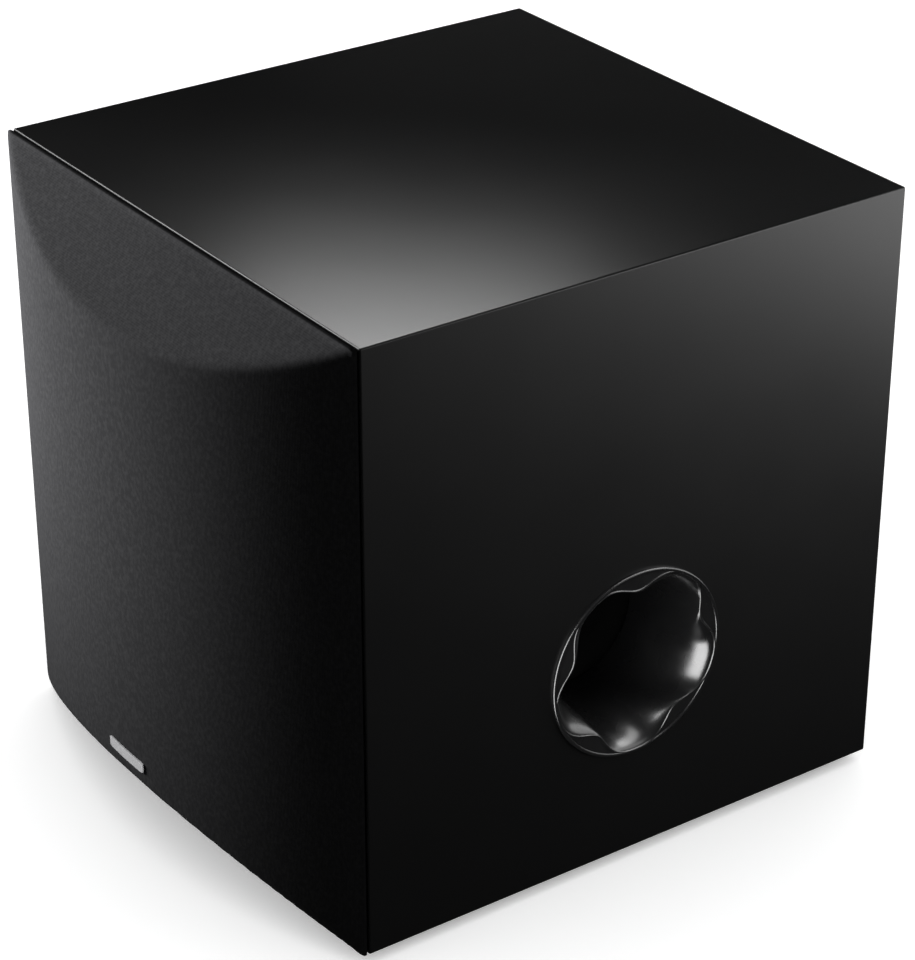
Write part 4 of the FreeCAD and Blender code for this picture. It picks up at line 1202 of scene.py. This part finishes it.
def printed_text(words, size, place):
    """Flat raised figures on the plate that read from behind the cabinet."""
    curve = bpy.data.curves.new("figures", "FONT")
    curve.body = words
    curve.size = size
    curve.align_x = "CENTER"
    curve.align_y = "CENTER"
    curve.extrude = 0.04 * MM
    curve.resolution_u = FIGURE_SMOOTHNESS
    holder = bpy.data.objects.new("figures", curve)
    bpy.context.scene.collection.objects.link(holder)
    bpy.context.view_layer.update()
    graph = bpy.context.evaluated_depsgraph_get()
    mesh = bpy.data.meshes.new_from_object(holder.evaluated_get(graph))
    bm = bmesh.new()
    bm.from_mesh(mesh)
    bpy.data.objects.remove(holder)
    bpy.data.meshes.remove(mesh)
    turn = Matrix(FROM_BEHIND).transposed()
    for vert in bm.verts:
        vert.co = turn @ vert.co + place
    return bm


def printed_bar(width, height, place, axes=FROM_BEHIND):
    bar = oblong(width, height, 0.2 * MM, 2)
    return slab(bar, place, PRINT_LIFT, axes, edge=PRINT_EDGE, steps=1)


def dial_prints(node, numbers):
    """Ticks round a knob, every second one longer and numbered."""
    face = on_face(node)
    tick_radius, number_radius = 13.0 * MM, 18.6 * MM
    first_turn, sweep = -150, 300
    ticks = 2 * len(numbers) - 1
    parts = []
    for i in range(ticks):
        turn = math.radians(first_turn + sweep * i / (ticks - 1))
        way = UP * math.cos(turn) - RIGHT * math.sin(turn)
        aside = -RIGHT * math.cos(turn) - UP * math.sin(turn)
        numbered = i % 2 == 0
        reach = 2.6 * MM if numbered else 1.5 * MM
        place = face + way * (tick_radius + reach / 2)
        parts.append(printed_bar(0.5 * MM, reach, place, (aside, way, REAR)))
        if numbered:
            place = face + REAR * TEXT_LIFT + way * number_radius
            parts.append(printed_text(numbers[i // 2], 3.2 * MM, place))
    return parts


def plate_prints():
    """Dial ticks with numbers, switch positions and polarity signs."""
    parts = []
    for node, numbers in DIAL_NUMBERS.items():
        parts += dial_prints(node, numbers)
    for node, marks in SWITCH_MARKS.items():
        for mark, side in zip(marks, (RIGHT, -RIGHT)):
            place = on_face(node, TEXT_LIFT) + side * (10.5 * MM)
            parts.append(printed_text(mark, 3.0 * MM, place))
    sign_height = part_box("wire_guides")[0].z - 3.2 * MM
    for i in range(4):
        spot = Vector((centre_of(f"terminal_lever_{i + 1}").x, FACE, sign_height))
        parts.append(printed_bar(2.6 * MM, 0.6 * MM, spot))
        if i % 2 == 0:
            parts.append(printed_bar(0.6 * MM, 2.6 * MM, spot))
    piece("plate_prints", merge(parts), "cabinet", "print_white")


def rocker_paddle():
    """Rocker with a dished face and rounded ends, on its axle."""
    pivot = on_face("power_switch_housing", -ROCKER_DEPTH)
    face = round_corners(mm(
        (-5.5, -5), (-1, -8.8), (5.5, -8.8), (4.0, 0, 14), (5.5, 8.8), (-1, 8.8), (-5.5, 5),
    ), 0.5 * MM, 5)
    lean = Matrix.Rotation(ROCKER_TILT, 2)
    width = 11.0 * MM
    start = pivot - RIGHT * (width / 2)
    paddle = slab([lean @ point for point in face], start, width, ACROSS_X, edge=0.4 * MM)
    whole = merge([paddle, axle(1.5 * MM, 6.8 * MM, pivot, 32)])
    piece("rocker_paddle", whole, "power_switch", "rocker_plastic", "power_rocker", crease=40)


def wire_lever(index):
    """Sprung lever with a rounded nose and three grip ribs, red and black by turns."""
    node = f"terminal_lever_{index}"
    body = f"wire_lever_{index}"
    pivot = Vector((centre_of(node).x, FACE - LEVER_DEPTH, MIDDLE.z - LEVER_DROP))
    width, rib_length = 11.0 * MM, 8.0 * MM
    outline = round_corners(mm(
        (-2.5, -2.2, 0.8), (15.5, -1.6, 0.6), (15.5, 1.0, 0.5), (14.0, 2.0, 0.8), (-2.5, 2.2, 0.8),
    ))
    parts = [slab(outline, pivot - RIGHT * (width / 2), width, ACROSS_X, edge=0.5 * MM)]
    rib = oblong(0.5 * MM, 0.3 * MM, 0.14 * MM, 3)
    for k in range(3):
        spot = pivot + Vector((-rib_length / 2, (11.4 + 1.3 * k) * MM, (2.02 - 0.012 * k) * MM))
        parts.append(slab(rib, spot, rib_length, ACROSS_X, edge=0.1 * MM))
    parts.append(axle(1.2 * MM, 6.3 * MM, pivot, 28))
    color = "lever_red" if index % 2 else "lever_black"
    piece(f"{body}_cap", merge(parts), body, color, node, crease=40)


def phono_socket():
    """Plated barrel with a rolled lip, over an insulator with a ringed core."""
    low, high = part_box("rca_barrel")
    length = (high.y - low.y) / MM
    barrel = round_corners(mm(
        (3.3, 0), (5.6, 0, 0.2), (5.6, 1.2, 0.4), (4.15, 1.2, 0.3),
        (4.15, length, 0.3), (3.3, length, 0.3),
    ))
    barrel = lathe(barrel, on_face("rca_barrel", low.y - FACE), segments=64)
    piece("phono_shell", barrel, "cabinet", "rca_metal", "rca_barrel")
    core = round_corners(mm(
        (1.6, -0.4), (1.6, 8, 0.3), (3.2, 8, 0.4), (3.2, 1.5), (8, 1.5, 0.3), (8, 0), (6, 0),
        (6, -10, 0.3), (0, -10), (0, -0.4),
    ))
    core = lathe(core, on_face("rca_barrel"), segments=64)
    piece("phono_core", core, "cabinet", "rca_plastic", "rca_insulator")


def led_dome():
    """Round-nosed lamp."""
    low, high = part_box("status_led")
    radius = (high.x - low.x) / 2
    middle = on_face("status_led", high.y - radius - FACE)
    profile = [(0.0, low.y - middle.y), (radius, low.y - middle.y)]
    profile += [(radius * c, radius * s) for c, s in arc(0, 90, 10)]
    dome = lathe(profile, middle, segments=40, closed=False)
    piece("led_dome", dome, "cabinet", "led_lens", "status_led")


# ---- feet ----
def rubber_feet():
    """Turned rubber feet with a recess for the screw and a grooved tread."""
    low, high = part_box("feet")
    radius = 16.0
    outline = round_corners(mm(
        (2.3, 3.4), (5.2, 3.4), (5.2, 0, 0.4), (8.6, 0, 0.2), (8.9, 0.6, 0.2), (9.9, 0.6, 0.2),
        (10.2, 0, 0.2), (13.5, 0, 0.5), (15.0, 1.2, 1.0), (radius, 4.5, 0.6),
        (radius, high.z / MM), (2.3, high.z / MM),
    ))
    feet = []
    for x in (low.x + radius * MM, high.x - radius * MM):
        for y in (low.y + radius * MM, high.y - radius * MM):
            feet.append(lathe(outline, Vector((x, y, low.z)), ACROSS_Z, 72))
    piece("rubber_feet", merge(feet), "cabinet", "foot_rubber", "feet")


# ---- camera ----
CAMERA_AZIMUTH = math.radians(54.89)
CAMERA_ELEVATION = math.radians(28.82)
CAMERA_DISTANCE = 1.4733
CAMERA_ASIDE = 3.53 * MM
CAMERA_DOWN = -39.29 * MM
FOCAL_LENGTH = 116.27
SENSOR = 36.0
LENS_SHIFT = 0.052


def aim(thing, place, way):
    """Puts a camera or a lamp at a place, looking along the way given."""
    bpy.context.scene.collection.objects.link(thing)
    thing.rotation_mode = "QUATERNION"
    thing.location = place
    thing.rotation_quaternion = way.to_track_quat("-Z", "Y")


def make_camera():
    right = Vector((math.cos(CAMERA_AZIMUTH), math.sin(CAMERA_AZIMUTH), 0))
    level = UP.cross(right)
    ahead = level * math.cos(CAMERA_ELEVATION) - UP * math.sin(CAMERA_ELEVATION)
    up = right.cross(ahead)
    data = bpy.data.cameras.new("camera")
    data.lens = FOCAL_LENGTH
    data.sensor_width = SENSOR
    data.shift_y = LENS_SHIFT
    camera = bpy.data.objects.new("camera", data)
    aim(camera, MIDDLE + right * CAMERA_ASIDE + up * CAMERA_DOWN - ahead * CAMERA_DISTANCE, ahead)
    bpy.context.scene.camera = camera


# ---- studio ----
# Each lamp: name, place, the point it faces, width, height and power in watts.
PANEL_LAMPS = (
    ("top_panel_light", (-0.062, 0.030, 0.590), (0.296, -0.332, 0.599), 0.171, 0.314, 1.5),
    ("left_panel_light", (-1.1, 0.1, 0.12), (0, 0.1, 0.15), 0.5, 0.3, 5.0),
    ("right_panel_light", (0.433, 0.353, 0.234), (0.382, 0.004, 0.022), 0.651, 0.377, 2.7),
    ("back_fill", (-0.6, 0.95, 0.18), (0, 0.155, 0.15), 1.2, 0.3, 13.0),
)
EDGE_LAMPS = (("edge_light", (-0.72, -0.61, 0.80), (0, -0.13, 0.30), 0.6, 0.4, 11.0),)
CLOTH_LAMPS = (("cloth_key", (-1.1, -0.52, 0.30), (-0.13, -0.13, 0.27), 0.3, 0.3, 54.0),)
CLOTH_BEAM = math.radians(34)
PORT_LAMPS = (
    ("port_front_kicker", (0.35, -0.49, 0.004), (0.15, 0.0, 0.1), 0.5, 0.9, 26.0),
    ("port_high_kicker", (0.20, 0.50, 0.90), (0.15, 0.0, 0.1), 0.9, 0.9, 20.0),
)
BAFFLE_LAMPS = (("baffle_light", (0.35, -0.9, 0.45), (0, -0.13, 0.15), 0.5, 0.5, 40.0),)
SKY_LIGHT = 1.25
SKY_IN_REFLECTIONS = 0.01
FLOOR_HALF = 40.0


def area_lamps(rows, beam=None):
    """Soft rectangular lamps that the camera doesn't see."""
    lamps = []
    for name, place, target, width, height, power in rows:
        data = bpy.data.lights.new(name, "AREA")
        data.shape = "RECTANGLE"
        data.size = width
        data.size_y = height
        data.energy = power
        if beam:
            data.spread = beam
        lamp = bpy.data.objects.new(name, data)
        aim(lamp, place, Vector(target) - Vector(place))
        lamp.visible_camera = False
        lamps.append(lamp)
    return lamps


def link_lamps(lamps, group, pieces):
    """Ties the lamps to a group of pieces, which are the ones they light."""
    receivers = bpy.data.collections.new(group)
    for made in pieces:
        receivers.objects.link(made)
    for lamp in lamps:
        lamp.light_linking.receiver_collection = receivers
    return receivers


def keep_lamps_off(lamps, pieces):
    """Pieces that take no light from the lamps, so that none leaves a bright patch on them."""
    for member in link_lamps(lamps, "spared_by_lamps", pieces).collection_objects:
        member.light_linking.link_state = "EXCLUDE"


def light_only(lamps, pieces):
    """Lamps that pick out a few pieces and leave the rest alone."""
    link_lamps(lamps, "only_" + pieces[0].name, pieces)


def make_sky():
    """White surroundings that light the scene but hardly show in reflections."""
    world = bpy.data.worlds.new("studio")
    bpy.context.scene.world = world
    world.use_nodes = True
    tree = world.node_tree
    background = tree.nodes["Background"]
    background.inputs["Color"].default_value = (1, 1, 1, 1)
    reflected = add_node(tree, "LightPath", "Is Glossy Ray", {})
    seen = add_node(tree, "LightPath", "Is Camera Ray", {})
    levels = {"Value": reflected, "To Min": SKY_LIGHT, "To Max": SKY_IN_REFLECTIONS}
    dimmed = add_node(tree, "MapRange", "Result", levels)
    strength = add_node(tree, "Math", 0, {0: dimmed, 1: seen}, operation="MAXIMUM")
    tree.links.new(strength, background.inputs["Strength"])


def make_floor():
    """Wide white sheet under the feet."""
    bm = bmesh.new()
    bm.faces.new([bm.verts.new((sx * FLOOR_HALF, sy * FLOOR_HALF, 0)) for sx, sy in SQUARE])
    floor = add_object("floor", bm)
    floor.data.materials.append(finishes["studio_floor"])
    floor.visible_glossy = False
    return floor


# ---- the scene ----
for row in frame["record"]["subparts"]:
    materials = frame["nodes"][row["node"]].data.materials
    materials.clear()
    materials.append(finishes[row["material_slot"]])

bpy.context.scene.view_settings.view_transform = "Standard"
make_sky()
make_camera()
floor = make_floor()
light_only(area_lamps(EDGE_LAMPS), [wrapped_cabinet()])
cloth = grille_cloth_piece()
light_only(area_lamps(CLOTH_LAMPS, CLOTH_BEAM), [cloth])
keep_lamps_off(area_lamps(PANEL_LAMPS), [floor, cloth])
badge_piece()
light_only(area_lamps(PORT_LAMPS), [port_horn()])
behind_grille = [frame["nodes"][name] for name in ("front_baffle", "driver_basket", "grille_sockets")]
behind_grille += [roll_surround(), ribbed_cone(), dome_cap(), foam_gasket()]
light_only(area_lamps(BAFFLE_LAMPS), behind_grille)
corrugated_spider()
pan_head_screws("basket_screws", driver_screw_places(), -REAR, "driver_screws",
                head_radius=3.8 * MM, shank_length=15 * MM)
pan_head_screws("plate_screws", plate_screw_places(), REAR, "amp_screws",
                head_radius=3.7 * MM, shank_length=13 * MM)
for name in ("volume", "crossover"):
    control_knob(name, f"{name}_control")
    pointer_line(name, f"{name}_control")
plate_prints()
rocker_paddle()
for index in range(1, 5):
    wire_lever(index)
phono_socket()
led_dome()
rubber_feet()
